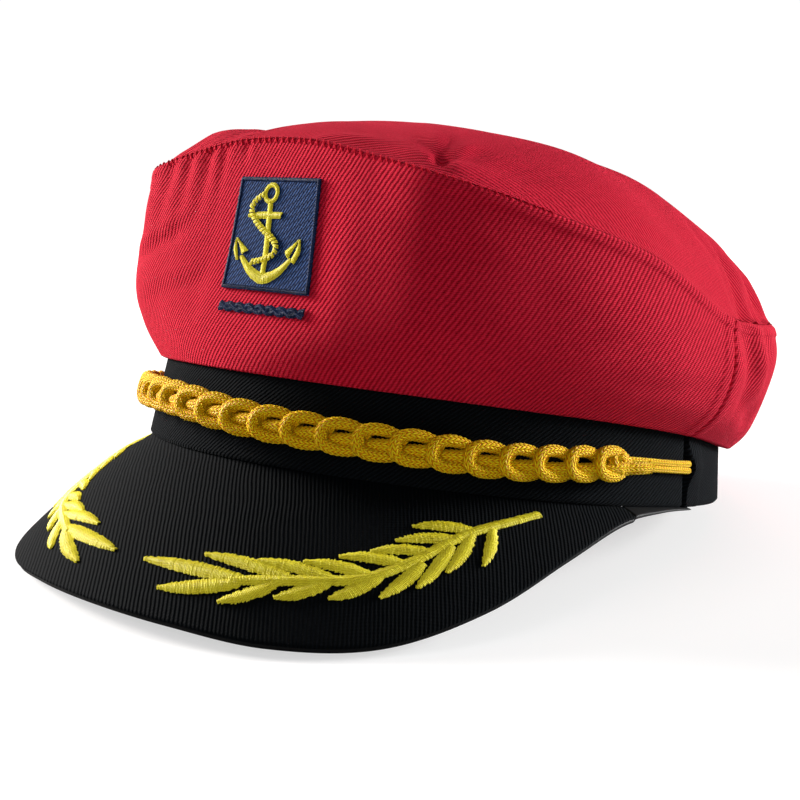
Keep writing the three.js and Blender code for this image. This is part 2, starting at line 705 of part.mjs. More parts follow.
function buildLaurel(side) {
  const stem = STEM_LINE.map((row) => {
    const { x, y } = sprigPoint(row.at, row.root);
    return { x, y, thick: STEM_WIDTH };
  });
  const leaves = LEAVES.map((row) => leafShape(sprigPoint(row.at, row.root), sprigPoint(row.toAt, row.toRoot)));
  const flat = [strokeShape(stem, 14), ...leaves];
  const geometry = joinThread(flat, (x, y, rise) => {
    const angle = x / ARC_PER_DEGREE;
    const share = y / peakSection(angle).length;
    return peakPoint(LAUREL_TURN + side * angle, share, -CLEARANCE - rise);
  });
  if (side > 0) geometry.index.array.reverse();
  return geometry;
}

const hat = new THREE.Group();

function addPiece(name, geometry, material) {
  const piece = new THREE.Mesh(geometry, material);
  piece.name = name;
  hat.add(piece);
}

const TUCK_GAP = THREE.MathUtils.radToDeg(CLEARANCE / HALF_WIDTH);

addPiece('crown_front', buildCrownWall(-SIDE_SEAM_ANGLE, SIDE_SEAM_ANGLE), RED_COTTON);
addPiece('crown_back', buildCrownWall(SIDE_SEAM_ANGLE, 360 - SIDE_SEAM_ANGLE), RED_COTTON);
addPiece('crown_top', buildCrownTop(), RED_COTTON);
addPiece('band_front', buildBand(-TUCK_ANGLE + TUCK_GAP, TUCK_ANGLE - TUCK_GAP, false), BLACK_COTTON);
addPiece('band_back', buildBand(TUCK_ANGLE, 360 - TUCK_ANGLE, true), BLACK_COTTON);
addPiece('peak_cover', buildPeakLayer(COVER_END_ANGLE, () => 0, COVER_CLOTH), BLACK_COTTON);
addPiece('peak_board', buildPeakLayer(BOARD_TIP_ANGLE, boardDepth, BOARD_THICKNESS), BLACK_BOARD);
addPiece('cord_braid', buildBraid(), GOLD_CORD);
addPiece('cord_tail_left', buildTail(1), GOLD_CORD);
addPiece('cord_tail_right', buildTail(-1), GOLD_CORD);
addPiece('badge_patch', buildPatch(), NAVY_THREAD);
addPiece('badge_anchor', buildAnchor(), YELLOW_THREAD);
addPiece('badge_wave', buildWave(), NAVY_THREAD);
addPiece('laurel_left', buildLaurel(1), YELLOW_THREAD);
addPiece('laurel_right', buildLaurel(-1), YELLOW_THREAD);

// The hat stands on two low places of its peak and on the back of its band.
let tilt = 0;
for (const piece of hat.children) {
  const place = piece.geometry.attributes.position;
  for (let i = 0; i < place.count; i += 1) {
    tilt = Math.max(tilt, Math.atan2(-place.getZ(i), HALF_LENGTH - place.getY(i)));
  }
}
const lean = new THREE.Matrix4().makeRotationX(-tilt);
for (const piece of hat.children) piece.geometry.applyMatrix4(lean);
const box = new THREE.Box3().setFromObject(hat);
const foot = box.getCenter(new THREE.Vector3());
for (const piece of hat.children) piece.geometry.translate(-foot.x, -foot.y, -box.min.z);

const group = hat;
export default group;
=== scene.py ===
"""Captain hat: cotton crown and band, ribbed peak, golden plait and embroidered badge.

Lengths are in millimetres while a shape is worked out, and in metres once it is a mesh.
A shape is worked out in the wearing frame: front -Y, top +Z, wearer's left +X.
Angles are in degrees round the head oval, from the front towards the wearer's left.
"""
import math
from functools import partial

import bmesh
import bpy
import numpy as np
from mathutils import Matrix, Vector


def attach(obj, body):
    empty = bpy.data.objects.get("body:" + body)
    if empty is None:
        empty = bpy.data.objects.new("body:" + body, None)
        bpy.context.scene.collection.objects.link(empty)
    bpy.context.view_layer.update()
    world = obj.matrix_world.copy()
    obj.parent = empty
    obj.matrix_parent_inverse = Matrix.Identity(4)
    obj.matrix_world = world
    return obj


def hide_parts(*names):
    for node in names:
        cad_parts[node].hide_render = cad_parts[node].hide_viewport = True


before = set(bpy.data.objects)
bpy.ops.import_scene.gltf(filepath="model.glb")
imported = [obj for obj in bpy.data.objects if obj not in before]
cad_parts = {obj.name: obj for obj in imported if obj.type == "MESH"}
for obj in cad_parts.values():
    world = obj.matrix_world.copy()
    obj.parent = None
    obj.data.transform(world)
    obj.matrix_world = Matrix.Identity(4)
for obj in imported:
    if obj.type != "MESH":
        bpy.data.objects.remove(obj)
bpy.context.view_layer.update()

MM = 0.001

# How the hat as worn is turned, in degrees, and moved to stand on its peak and band
REST_TILT = 9.98268968
REST_MOVE_Y = 6.91424178
REST_MOVE_Z = 19.24660748

# Sizes of the hat, the same as in its solid model
CLEARANCE = 0.3
HEAD_LENGTH = 200.6
HEAD_WIDTH = 168.2
BAND_WALL = 2.2
BAND_HEIGHT = 24
BAND_LEAN = 2.7
TUCK_ANGLE = 91.8
TUCK_RISE = 2.6
TUCK_LENGTH_ANGLE = 6
TUCK_HEIGHT = 4.4
CROWN_CLOTH = 1.6
CROWN_HEIGHT = 63.5
CROWN_FLARE = 12
SIDE_SEAM_ANGLE = 90
DOME_TOP = 103.5
DOME_FORWARD = 33
PEAK_REACH = 36.7
PEAK_DROP = 36.7
PEAK_ARCH = 1.4
PEAK_TUCK = 1.6
COVER_CLOTH = 1.2
BOARD_THICKNESS = 2
BOARD_TIP_ANGLE = 95
COVER_END_ANGLE = 75
BRAID_THICKNESS = 6.8
BRAID_RISE = 12
BRAID_LINKS = 25
BRAID_END_ANGLE = 71
TAIL_STRAND = 2.6
SEAM_GAP = 0.06
BADGE_WIDTH = 30.5
BADGE_HEIGHT = 30.9
BADGE_RISE = 60.8
BADGE_SHIFT = 5.8
BADGE_NARROWING = 2.7
BADGE_LEAN = 2
WAVE_LENGTH = 31
WAVE_WIDTH = 2.8
WAVE_BELOW_BADGE = 5
WAVE_SHIFT = 1.6
LAUREL_TURN = 0.9

HALF_WIDTH = HEAD_WIDTH / 2 + BAND_WALL
HALF_LENGTH = HEAD_LENGTH / 2 + BAND_WALL


def table(columns, *rows):
    """Short table with named columns."""
    names = columns.split()
    return {name: np.array([row[i] for row in rows], float) for i, name in enumerate(names)}


# Crown wall by angle: outs are shares of the flare, the fold's drop a share of the band
# height, ups shares of the crown height.
CROWN_STATIONS = table(
    "at fold_out fold_drop low_out low_up bulge_out bulge_up seam_out seam_up",
    (0, -0.08, 0.03, -0.04, 0.13, -0.36, 0.44, -0.64, 1.0),
    (12, -0.08, 0.03, 0.05, 0.13, -0.2, 0.42, -0.46, 0.985),
    (24, -0.06, 0.03, 0.24, 0.15, 0.3, 0.4, 0.02, 0.93),
    (35, -0.05, 0.03, 0.48, 0.15, 0.79, 0.37, 0.67, 0.87),
    (53, -0.02, 0.04, 0.56, 0.14, 0.86, 0.36, 0.68, 0.78),
    (70, 0, 0.06, 0.62, 0.13, 0.92, 0.34, 0.67, 0.69),
    (90, 0.05, 0.13, 0.66, 0.08, 0.96, 0.28, 0.7, 0.51),
    (117, 0.12, 0.29, 0.6, 0.02, 0.97, 0.34, 0.8, 0.54),
    (180, 0.12, 0.29, 0.66, 0.03, 1.12, 0.32, 1.0, 0.57),
)

# Dents and soft folds of the crown wall; up and tall are shares of the crown height, deep
# pushes in by so many millimetres.
WALL_DENTS = table(
    "at up wide tall deep",
    (-52, 0.62, 8, 0.16, 2.4),
    (-30, 0.7, 6, 0.1, -1.2),
    (30, 0.36, 7, 0.2, 1.0),
    (62, 0.5, 9, 0.16, -1.0),
    (84, 0.3, 6, 0.2, 1.1),
    (104, 0.35, 6, 0.25, -1.2),
    (140, 0.4, 10, 0.2, 1.4),
    (200, 0.35, 11, 0.2, 1.3),
    (238, 0.4, 9, 0.2, -1.2),
)

# Rise of the top panel from its seam (share 1) to its middle (share 0)
DOME_RISE = table(
    "at front back",
    (0, 1, 1),
    (0.2, 0.97, 0.995),
    (0.42, 0.82, 0.915),
    (0.62, 0.62, 0.8),
    (0.8, 0.4, 0.55),
    (0.9, 0.22, 0.315),
    (1, 0, 0),
)

# How the plait sways up and down on its way round; share of its height on the band
BRAID_LINE = table(
    "at sway",
    (-71, 0.02),
    (-45, 0.07),
    (-20, 0.09),
    (-11, 0.05),
    (-3, -0.025),
    (5.5, -0.09),
    (18, -0.14),
    (35, -0.19),
    (46, -0.23),
    (56, -0.165),
    (64, -0.08),
    (71, -0.015),
)

# Soft hollows of the top panel; side, back, wide and long are shares of the half oval.
TOP_DENTS = table(
    "side back wide long deep",
    (-0.27, -0.7, 0.09, 0.08, 3.2),
    (-0.42, -0.8, 0.12, 0.09, -2.6),
    (0.1, -0.6, 0.16, 0.1, 1.6),
    (0.42, 0.1, 0.16, 0.3, 1.4),
    (-0.35, 0.3, 0.2, 0.25, 2.2),
    (0.05, 0.55, 0.3, 0.12, 2),
)

# Outer upper edge of the peak; shares of its reach and drop. Thin is a share of thickness.
PEAK_EDGE = table(
    "at out down thin",
    (0, 1, 0.985, 1),
    (12, 1, 0.99, 1),
    (24, 0.987, 1, 1),
    (36, 0.883, 0.917, 1),
    (48, 0.66, 0.655, 1),
    (60, 0.393, 0.314, 0.95),
    (72, 0.164, 0.074, 0.7),
    (84, 0.038, 0.014, 0.4),
    (96, 0.008, 0.01, 0.25),
)


def read_table(rows, column, place):
    """Reads a column at any place between its rows, along a smooth curve."""
    at, values = rows["at"], rows[column]
    place = np.asarray(place, float)
    row = np.clip(np.searchsorted(at, place, side="left") - 1, 0, len(at) - 2)
    slope = np.zeros(len(at))
    slope[1:-1] = (values[2:] - values[:-2]) / (at[2:] - at[:-2])
    span = at[row + 1] - at[row]
    t = np.clip((place - at[row]) / span, 0, 1)
    rise = t * t * (3 - 2 * t)
    leave = t * (1 - t) ** 2 * span * slope[row]
    arrive = t * t * (1 - t) * span * slope[row + 1]
    return values[row] + (values[row + 1] - values[row]) * rise + leave - arrive


def grids(*values):
    """Arrays of numbers, all of one shape."""
    return np.broadcast_arrays(*[np.asarray(value, float) for value in values])


def unit(ways):
    """Directions of length 1."""
    return ways / np.linalg.norm(ways, axis=-1, keepdims=True)


def side_angle(angle):
    """Angle from the front, the same on both sides."""
    turned = np.mod(angle, 360)
    return np.minimum(turned, 360 - turned)


def signed_angle(angle):
    """Angle from the front, below 0 on the wearer's right."""
    return np.mod(angle + 180, 360) - 180


def hump(offset, width):
    """Soft bump, 1 in its middle."""
    return np.exp(-((offset / width) ** 2))


def smooth(value, low, high):
    """0 below low, 1 above high, and a soft step between them."""
    t = np.clip((value - low) / (high - low), 0, 1)
    return t * t * (3 - 2 * t)


def plateau(value, begins, ends):
    """1 between two soft steps, and 0 outside them."""
    return smooth(value, *begins) * (1 - smooth(value, *ends))


def oval(angle, out, z):
    """Points on the head oval grown outwards."""
    turn = np.radians(angle)
    x = (HALF_WIDTH + out) * np.sin(turn)
    y = -(HALF_LENGTH + out) * np.cos(turn)
    return np.stack(np.broadcast_arrays(x, y, z), axis=-1)


def standing(points):
    """Wearing frame in millimetres to the shared frame in metres."""
    points = np.asarray(points, float)
    tilt = math.radians(REST_TILT)
    y = points[..., 1] + REST_MOVE_Y
    z = points[..., 2] + REST_MOVE_Z
    turned_y = y * math.cos(tilt) + z * math.sin(tilt)
    turned_z = -y * math.sin(tilt) + z * math.cos(tilt)
    return np.stack([points[..., 0], turned_y, turned_z], axis=-1) * MM


def spline(points, t):
    """Point at share t along a curve that passes through every given point."""
    place = np.clip(t, 0, 1) * (len(points) - 1)
    row = np.minimum(np.floor(place).astype(int), len(points) - 2)
    w = (place - row)[..., None]
    stacked = np.stack(points)
    pick = lambda k: take_point(stacked, np.clip(k, 0, len(points) - 1))
    p0, p1, p2, p3 = pick(row - 1), pick(row), pick(row + 1), pick(row + 2)
    v0, v1 = (p2 - p0) / 2, (p3 - p1) / 2
    return (2 * p1 - 2 * p2 + v0 + v1) * w**3 + (-3 * p1 + 3 * p2 - 2 * v0 - v1) * w**2 + v0 * w + p1


def take_point(stacked, index):
    """Picks the index-th point at each place of an array, or from one list of points."""
    if stacked.ndim == 2:
        return stacked[index]
    spread = np.broadcast_to(index, stacked.shape[1:-1])[None, ..., None]
    spread = np.broadcast_to(spread, (1,) + stacked.shape[1:])
    return np.take_along_axis(stacked, spread, axis=0)[0]


def band_out(z):
    """How far out the band's face lies at a height; it leans in towards its top."""
    return -BAND_LEAN * np.asarray(z, float) / BAND_HEIGHT


def tuck_swell(angle, z):
    """Swelling of the band's back piece over the cord's end."""
    past = side_angle(angle) - TUCK_ANGLE
    along = np.where(past < 0, 0, hump(past, TUCK_LENGTH_ANGLE))
    return TUCK_RISE * along * hump(z - BRAID_RISE, TUCK_HEIGHT)


def crown_line(angle, t):
    """Out and height of the crown wall from its fold (t 0) to its top seam (t 1)."""
    angle, t = grids(angle, t)
    side = side_angle(angle)
    read = lambda column: read_table(CROWN_STATIONS, column, side)
    up = lambda share: BAND_HEIGHT + share * CROWN_HEIGHT
    marks = [(read("fold_out") * CROWN_FLARE, BAND_HEIGHT * (1 - read("fold_drop")))]
    for part in ("low", "bulge", "seam"):
        marks.append((read(part + "_out") * CROWN_FLARE, up(read(part + "_up"))))
    line = spline([np.stack(mark, axis=-1) for mark in marks], t)
    out, z = line[..., 0], line[..., 1]
    share = (z - marks[0][1]) / (marks[-1][1] - marks[0][1])
    fade = np.maximum(0, 4 * share * (1 - share))
    height = (z - BAND_HEIGHT) / CROWN_HEIGHT
    depth = 0
    for at, dent_up, wide, tall, deep in zip(*WALL_DENTS.values()):
        depth = depth + deep * hump(signed_angle(angle - at), wide) * hump(height - dent_up, tall)
    return out - depth * fade, z


# The dome's front profile turns into its back profile between these angles from the front
DOME_TURNS = (15, 80)


def top_point(angle, share):
    """Top panel by angle and share of the way from its middle to its seam."""
    angle, share = grids(angle, share)
    seam_out, seam_z = crown_line(angle, 1.0)
    edge = oval(angle, seam_out, seam_z + SEAM_GAP)
    middle = np.stack(np.broadcast_arrays(0.0, -DOME_FORWARD, edge[..., 2]), axis=-1)
    point = middle + (edge - middle) * share[..., None]
    towards_back = smooth(side_angle(angle), *DOME_TURNS)
    front = read_table(DOME_RISE, "front", share)
    back = read_table(DOME_RISE, "back", share)
    point[..., 2] += (DOME_TOP - edge[..., 2]) * (front + (back - front) * towards_back)
    fade = np.minimum(1, 6 * (1 - share))
    for side, at_back, wide, long, deep in zip(*TOP_DENTS.values()):
        across = hump(point[..., 0] / HALF_WIDTH - side, wide)
        along = hump(point[..., 1] / HALF_LENGTH - at_back, long)
        point[..., 2] -= fade * deep * across * along
    return point


# The peak's root is drawn up to the band so that no light shows between them
PEAK_SEAT_LIFT = CLEARANCE - 0.04
PEAK_SEAT_WIDTH = 2.5


def peak_point(angle, share, depth):
    """Peak by angle, share of the way from its root to its edge, and depth below its face."""
    angle, share, depth = grids(angle, share, depth)
    side = side_angle(angle)
    edge_out = read_table(PEAK_EDGE, "out", side) * PEAK_REACH
    edge_z = -CLEARANCE - read_table(PEAK_EDGE, "down", side) * PEAK_DROP
    slope_out, slope_z = edge_out + PEAK_TUCK, edge_z + CLEARANCE
    length = np.hypot(slope_out, slope_z)
    normal_out, normal_z = -slope_z / length, slope_out / length
    arch = PEAK_ARCH * np.minimum(1, length / PEAK_REACH) * 4 * share * (1 - share)
    out = -PEAK_TUCK + slope_out * share + normal_out * arch
    z = -CLEARANCE + slope_z * share + normal_z * arch
    blend = np.minimum(1, share * 4)
    up_out, up_z = normal_out * blend, 1 + (normal_z - 1) * blend
    size = np.hypot(up_out, up_z)
    seat = PEAK_SEAT_LIFT * hump(share * length, PEAK_SEAT_WIDTH)
    return oval(angle, out - depth * up_out / size, z - depth * up_z / size + seat)


def peak_length(angle):
    """Way down the peak from its root to its edge."""
    side = side_angle(angle)
    out = read_table(PEAK_EDGE, "out", side) * PEAK_REACH + PEAK_TUCK
    return np.hypot(out, read_table(PEAK_EDGE, "down", side) * PEAK_DROP)


def peak_thin(angle):
    """Share of its full thickness that the peak has; less towards its tips."""
    return read_table(PEAK_EDGE, "thin", side_angle(angle))


def cord_rise(angle):
    """Height of the plait's middle line."""
    return BRAID_RISE * (1 + read_table(BRAID_LINE, "sway", signed_angle(angle)))


# Meshes
def add_object(name, data):
    """Object in the scene, from a mesh, a lamp or a lens."""
    made = bpy.data.objects.new(name, data)
    bpy.context.scene.collection.objects.link(made)
    return made


def make_mesh(name, points, faces, weave=None, sharp=48):
    """Object from points in metres, with each point's place on the cloth in millimetres."""
    mesh = bpy.data.meshes.new(name)
    mesh.from_pydata(np.asarray(points).reshape(-1, 3).tolist(), [], faces)
    mesh.validate()
    if weave is not None:
        layer = mesh.attributes.new("weave", "FLOAT_VECTOR", "POINT")
        layer.data.foreach_set("vector", np.asarray(weave, np.float32).reshape(-1))
    mesh.shade_smooth()
    mesh.set_sharp_from_angle(angle=math.radians(sharp))
    return add_object(name, mesh)


def loft(name, loops, weave, ring=False, sharp=48):
    """Closed shell through matching loops of points, capped at its ends unless it is a ring."""
    stations, count = loops.shape[:2]
    index = np.arange(stations * count).reshape(stations, count)
    after = np.roll(index, -1, axis=1)
    if ring:
        rows = [index, after, np.roll(after, -1, axis=0), np.roll(index, -1, axis=0)]
    else:
        rows = [index[:-1], after[:-1], after[1:], index[1:]]
    faces = np.stack(rows, axis=-1).reshape(-1, 4).tolist()
    if not ring:
        faces.append(index[0, ::-1].tolist())
        faces.append(index[-1].tolist())
    points = standing(loops.reshape(-1, 3))
    a, b, c, d = (points[[face[i] for face in faces if len(face) == 4]] for i in range(4))
    middle = points.mean(axis=0)
    volume = np.einsum("ij,ij->i", a - middle, np.cross(c - a, d - b)).sum()
    if volume < 0:
        faces = [face[::-1] for face in faces]
    return make_mesh(name, points, faces, weave.reshape(-1, 3), sharp)


def cloth_place(along, up, side=0.0):
    """Place on the cloth: millimetres along it, millimetres up it, and 1 on its inner side."""
    return np.stack(np.broadcast_arrays(along, up, side), axis=-1)


def cloth_places(*faces):
    """Places on the cloth of a shell, by the runs along and up its outer face and its inner ones."""
    return np.concatenate([cloth_place(*face, min(i, 1)) for i, face in enumerate(faces)], axis=1)


def run_length(points, axis):
    """Length walked along one axis of a grid of points."""
    step = np.linalg.norm(np.diff(points, axis=axis), axis=-1)
    start = np.zeros_like(np.take(step, [0], axis=axis))
    return np.concatenate([start, np.cumsum(step, axis=axis)], axis=axis)


def soft_waves(a, b, seed, count=9, low=0.6, high=2.4):
    """Gentle unevenness between about -1 and 1, from a few crossed waves."""
    dice = np.random.default_rng(seed)
    total = 0
    for _ in range(count):
        turn, size, shift = dice.uniform(0, np.pi), dice.uniform(low, high), dice.uniform(0, 2 * np.pi)
        total = total + np.sin((a * np.cos(turn) + b * np.sin(turn)) * size + shift)
    return total / count * 1.6


# Crown
# Gathers that hang from the top seam; wide in degrees, deep and long in millimetres.
WALL_GATHERS = table(
    "at wide deep long",
    (-66, 1.5, 0.8, 16),
    (-57, 1.6, 0.6, 16),
    (-47, 2.0, 0.7, 18),
    (-38, 1.8, 0.8, 18),
    (-29, 1.6, 1.0, 17),
    (-24, 1.3, 0.75, 14),
    (-18.5, 1.4, 0.8, 15),
    (-14, 1.2, 0.5, 12),
    (-8, 1.0, 0.5, 10),
    (97, 1.6, 1.0, 22),
    (104, 2.0, 0.9, 26),
    (116, 1.7, 0.8, 18),
    (131, 2.2, 1.0, 20),
    (150, 1.8, 0.9, 22),
    (171, 2.1, 1.0, 18),
    (192, 1.9, 0.9, 24),
    (214, 2.2, 1.0, 20),
    (236, 1.7, 0.8, 18),
    (252, 2.0, 1.0, 24),
    (262, 1.6, 0.9, 20),
)

# Creases across the wall between two places, in degrees and millimetres of height
WALL_CREASES = table(
    "at z to_at to_z wide deep",
    (-37, 50, -20, 62, 2.4, 0.9),
    (-30, 40, -12, 47, 3.0, 0.5),
    (62, 40, 84, 50, 3.2, 0.45),
    (70, 31, 87, 36, 2.4, 0.4),
    (93, 56, 99, 34, 4.0, 1.3),
    (95, 34, 108, 26, 3.4, 0.9),
    (28, 66, 44, 58, 3.5, 0.35),
)

# Way round the hat in one degree, on average
MM_PER_DEGREE = 1.66

# How a gather leans with its length and where it starts below the seam; how high and how far
# off, as a share of its width, the softer roll beside it is
GATHER_LEAN = 0.012
GATHER_START = 2.5
GATHER_ROLL = 0.45
GATHER_ROLL_AT = 2.1

# Folds: the shares of their way where they begin and end, how much they widen on it, and how
# high and how far off the softer roll beside them is
WALL_FOLD = {"begins": (-0.15, 0.25), "ends": (0.75, 1.15), "widens": 0, "roll": 0.6, "roll_at": -1.7}
TOP_FOLD = {"begins": (-0.05, 0.1), "ends": (0.3, 1.1), "widens": 0.9, "roll": 0.5, "roll_at": 2}

# Slack of the wall: how high its waves are, how many lie round the hat and how tall they are;
# it begins over these distances below the top seam and above the band
WALL_SLACK = 0.42
WALL_WAVES_ROUND = 5
WALL_WAVE_HEIGHT = 14
WALL_SLACK_BELOW = (1, 9)
WALL_SLACK_ABOVE = (-1, 7)

# Flat place of the wall behind the badge: its middle in degrees and in millimetres below the
# badge's, its half sizes, and the shares of them where it ends
BADGE_FLAT = {"at": 4, "below": 3, "wide": 13, "tall": 20, "ends": (0.95, 1.35)}

# Ridges beside the seams, where the cloth is turned under: how they rise and how soft their
# far side is, and the angles between which the one along the top seam begins and ends
RIDGE_FOOT = (0.2, 0.9)
RIDGE_SOFTNESS = 0.5
SEAM_RIDGE_WIDTH = 3.4
SEAM_RIDGE_RISE = 0.5
SEAM_RIDGE_BEGINS = (18, 40)
SEAM_RIDGE_ENDS = (120, 150)
SIDE_RIDGE_WIDTH = 4.2
SIDE_RIDGE_RISE = 0.35

# Radii that the wall's edges curl in by, and the bevel of its hem
SEAM_ROLL = 0.55
SIDE_ROLL = 0.8
FOLD_ROLL = 0.6
HEM_BEVEL = 0.4
WALL_ROW_PACKING = 1.25

# The inner faces follow the relief of the outer ones from these distances off the seam
WALL_INNER_BEGINS = (0, 4)
TOP_INNER_BEGINS = (0, 5)


def ridge_profile(distance, width, rise):
    """Low flat ridge beside a seam, where the cloth is turned under."""
    far_side = smooth(distance, width - RIDGE_SOFTNESS, width + RIDGE_SOFTNESS)
    return rise * smooth(distance, *RIDGE_FOOT) * (1 - far_side)


def edge_roll(distance, radius):
    """How far a cloth edge curls in close to its seam."""
    near = np.clip(radius - distance, 0, radius)
    return radius - np.sqrt(radius**2 - near**2)


def gather(offset, seam_distance, wide, deep, long, roll, roll_at):
    """Small valley that hangs from a seam, with a softer roll beside it."""
    fade = hump(seam_distance, long) * smooth(seam_distance, 0, GATHER_START)
    return deep * fade * (hump(offset, wide) - roll * hump(offset - roll_at, wide))


def crease(x, y, start, end, wide, deep, fold):
    """Fold from one place to another: a valley with a softer roll beside it."""
    run = np.subtract(end, start)
    off_x, off_y = x - start[0], y - start[1]
    share = (off_x * run[0] + off_y * run[1]) / (run @ run)
    across = (off_x * run[1] - off_y * run[0]) / np.hypot(*run)
    ends = plateau(share, fold["begins"], fold["ends"])
    spread = wide * (1 + fold["widens"] * np.clip(share, 0, 1))
    roll = fold["roll"] * hump(across - fold["roll_at"] * spread, spread)
    return deep * ends * (hump(across, spread) - roll)


def wall_relief(angle, z, seam_distance):
    """Outward relief of the crown wall from gathers, creases and slack."""
    relief = np.zeros_like(z)
    turned = signed_angle(angle)
    for at, wide, deep, long in zip(*WALL_GATHERS.values()):
        lean = signed_angle(angle - at) + GATHER_LEAN * seam_distance * np.sign(at)
        relief -= gather(lean, seam_distance, wide, deep, long, GATHER_ROLL, GATHER_ROLL_AT * wide)
    for at, low, to_at, high, wide, deep in zip(*WALL_CREASES.values()):
        start, end = (at * MM_PER_DEGREE, low), (to_at * MM_PER_DEGREE, high)
        relief -= crease(turned * MM_PER_DEGREE, z, start, end, wide, deep, WALL_FOLD)
    slack = soft_waves(np.radians(angle) * WALL_WAVES_ROUND, z / WALL_WAVE_HEIGHT, seed=11)
    fade = smooth(seam_distance, *WALL_SLACK_BELOW) * smooth(z - BAND_HEIGHT, *WALL_SLACK_ABOVE)
    relief = relief + WALL_SLACK * slack * fade
    off_side = np.abs(turned - BADGE_FLAT["at"]) / BADGE_FLAT["wide"]
    off_height = np.abs(z - BADGE_RISE + BADGE_FLAT["below"]) / BADGE_FLAT["tall"]
    return relief * smooth(np.maximum(off_side, off_height), *BADGE_FLAT["ends"])


def build_wall(name, start, end, columns, rows=72):
    """Half of the crown wall: outer face, inner face, and the hem that folds over the band."""
    half_gap = math.degrees(SEAM_GAP / HALF_LENGTH) / 2
    angle = np.linspace(start + half_gap, end - half_gap, columns)[:, None]
    t = 1 - (1 - np.linspace(0, 1, rows)) ** WALL_ROW_PACKING
    out, z = crown_line(angle, t[None, :])
    flat = oval(angle, out, z)
    up = run_length(flat, 1)
    seam_distance = up[:, -1:] - up
    side_distance = np.minimum(angle - start, end - angle) * MM_PER_DEGREE
    along = run_length(flat[:, rows // 2 : rows // 2 + 1], 0) + start * MM_PER_DEGREE
    along = np.broadcast_to(along, z.shape)
    side = side_angle(angle)
    ridge = plateau(side, SEAM_RIDGE_BEGINS, SEAM_RIDGE_ENDS)
    relief = wall_relief(angle, z, seam_distance)
    relief += ridge * ridge_profile(seam_distance, SEAM_RIDGE_WIDTH, SEAM_RIDGE_RISE)
    relief += SIDE_RIDGE_RISE * ridge_profile(side_distance, SIDE_RIDGE_WIDTH, 1)
    roll = edge_roll(seam_distance, SEAM_ROLL) + edge_roll(side_distance, SIDE_ROLL)
    outer = oval(angle, out + relief - roll - edge_roll(up, FOLD_ROLL), z)

    pick = np.arange(rows - 1, 7, -3)
    step_out, step_z = np.gradient(out, axis=1), np.gradient(z, axis=1)
    size = np.hypot(step_out, step_z)
    in_relief = relief * smooth(seam_distance, *WALL_INNER_BEGINS)
    in_out = out - CROWN_CLOTH * step_z / size + in_relief
    in_z = np.minimum(z + CROWN_CLOTH * step_out / size, z[:, -1:])
    inner = oval(angle, in_out, in_z)[:, pick]

    hem_z = BAND_HEIGHT + CLEARANCE
    face_z = z[:, :1] + CLEARANCE
    hem_in = band_out(BAND_HEIGHT) - CROWN_CLOTH
    corners = (
        (hem_in, hem_z + CROWN_CLOTH),
        (hem_in, hem_z + HEM_BEVEL),
        (hem_in + HEM_BEVEL, hem_z),
        (band_out(BAND_HEIGHT) + CLEARANCE, hem_z),
        (band_out(face_z) + tuck_swell(angle, face_z) + CLEARANCE, face_z),
    )
    hem = np.concatenate([oval(angle, corner_out, corner_z) for corner_out, corner_z in corners], axis=1)
    hem_weave = up[:, :1] - up[:, -1:] - np.arange(len(corners)) * FOLD_ROLL
    weave = cloth_places(
        (along, -seam_distance),
        (along[:, pick], -seam_distance[:, pick]),
        (along[:, : len(corners)], hem_weave),
    )
    return loft(name, np.concatenate([outer, inner, hem], axis=1), weave)


# Folds of the top panel in millimetres: from one place to another, wide, deep
TOP_CREASES = table(
    "x y to_x to_y wide deep",
    (51, -87, 40, -70, 1.8, 1.5),
    (50, -87, 54, -66, 1.8, 1.2),
    (51, -86, 30, -78, 1.8, 1.0),
    (52, -84, 68, -62, 2.0, 0.8),
    (12, -93, 40, -84, 1.6, -0.6),
    (80, 4, 62, 14, 2.6, 0.7),
    (95, 13.2, 68, 20, 2.2, 1.7),
    (91, 31, 66, 42, 2.2, 1.6),
    (84, 46, 60, 62, 3.0, 0.9),
    (-44, -62, -24, -80, 2.6, -0.8),
    (-84, 12, -58, 30, 3.0, 1.0),
    (-86, -14, -60, -6, 3.0, 0.9),
    (-70, -50, -50, -36, 3.0, 0.8),
    (40, 88, 26, 62, 3.0, 0.9),
    (-36, 92, -22, 66, 3.0, 0.9),
    (2, 100, 4, 72, 2.6, 0.8),
)
TOP_GRAIN_TURN = -32
TOP_GRAIN_FINENESS = 1.3

# Fine pressed ridges beside the seam, on the wearer's left: how far from it and how high, and
# the angles between which they rise and fall
PRESSED_RIDGES = ((2.2, 0.55), (4.6, 0.42), (7.0, 0.26))
PRESSED_WIDTH = 0.75
PRESSED_RISES = (38, 54)
PRESSED_FALLS = (70, 84)

# Gathers of the panel along its seam, and the slack between them
TOP_GATHER = {"wide": 1.3, "deep": 0.8, "long": 15, "roll": 0.5, "roll_at": 2.7}
TOP_GATHER_ANGLES = (-47, -38, -29, -21, -12, 96, 103, 111, 122, 137, 158, 176, 199, 221, 243, 258)
TOP_SLACK = 0.5
TOP_WAVE = 11
TOP_SLACK_BEGINS = (1, 14)

# Rows of the panel lie closer at its seam and end just short of its middle
TOP_ROW_PACKING = 1.35
TOP_ROWS_END = 0.995


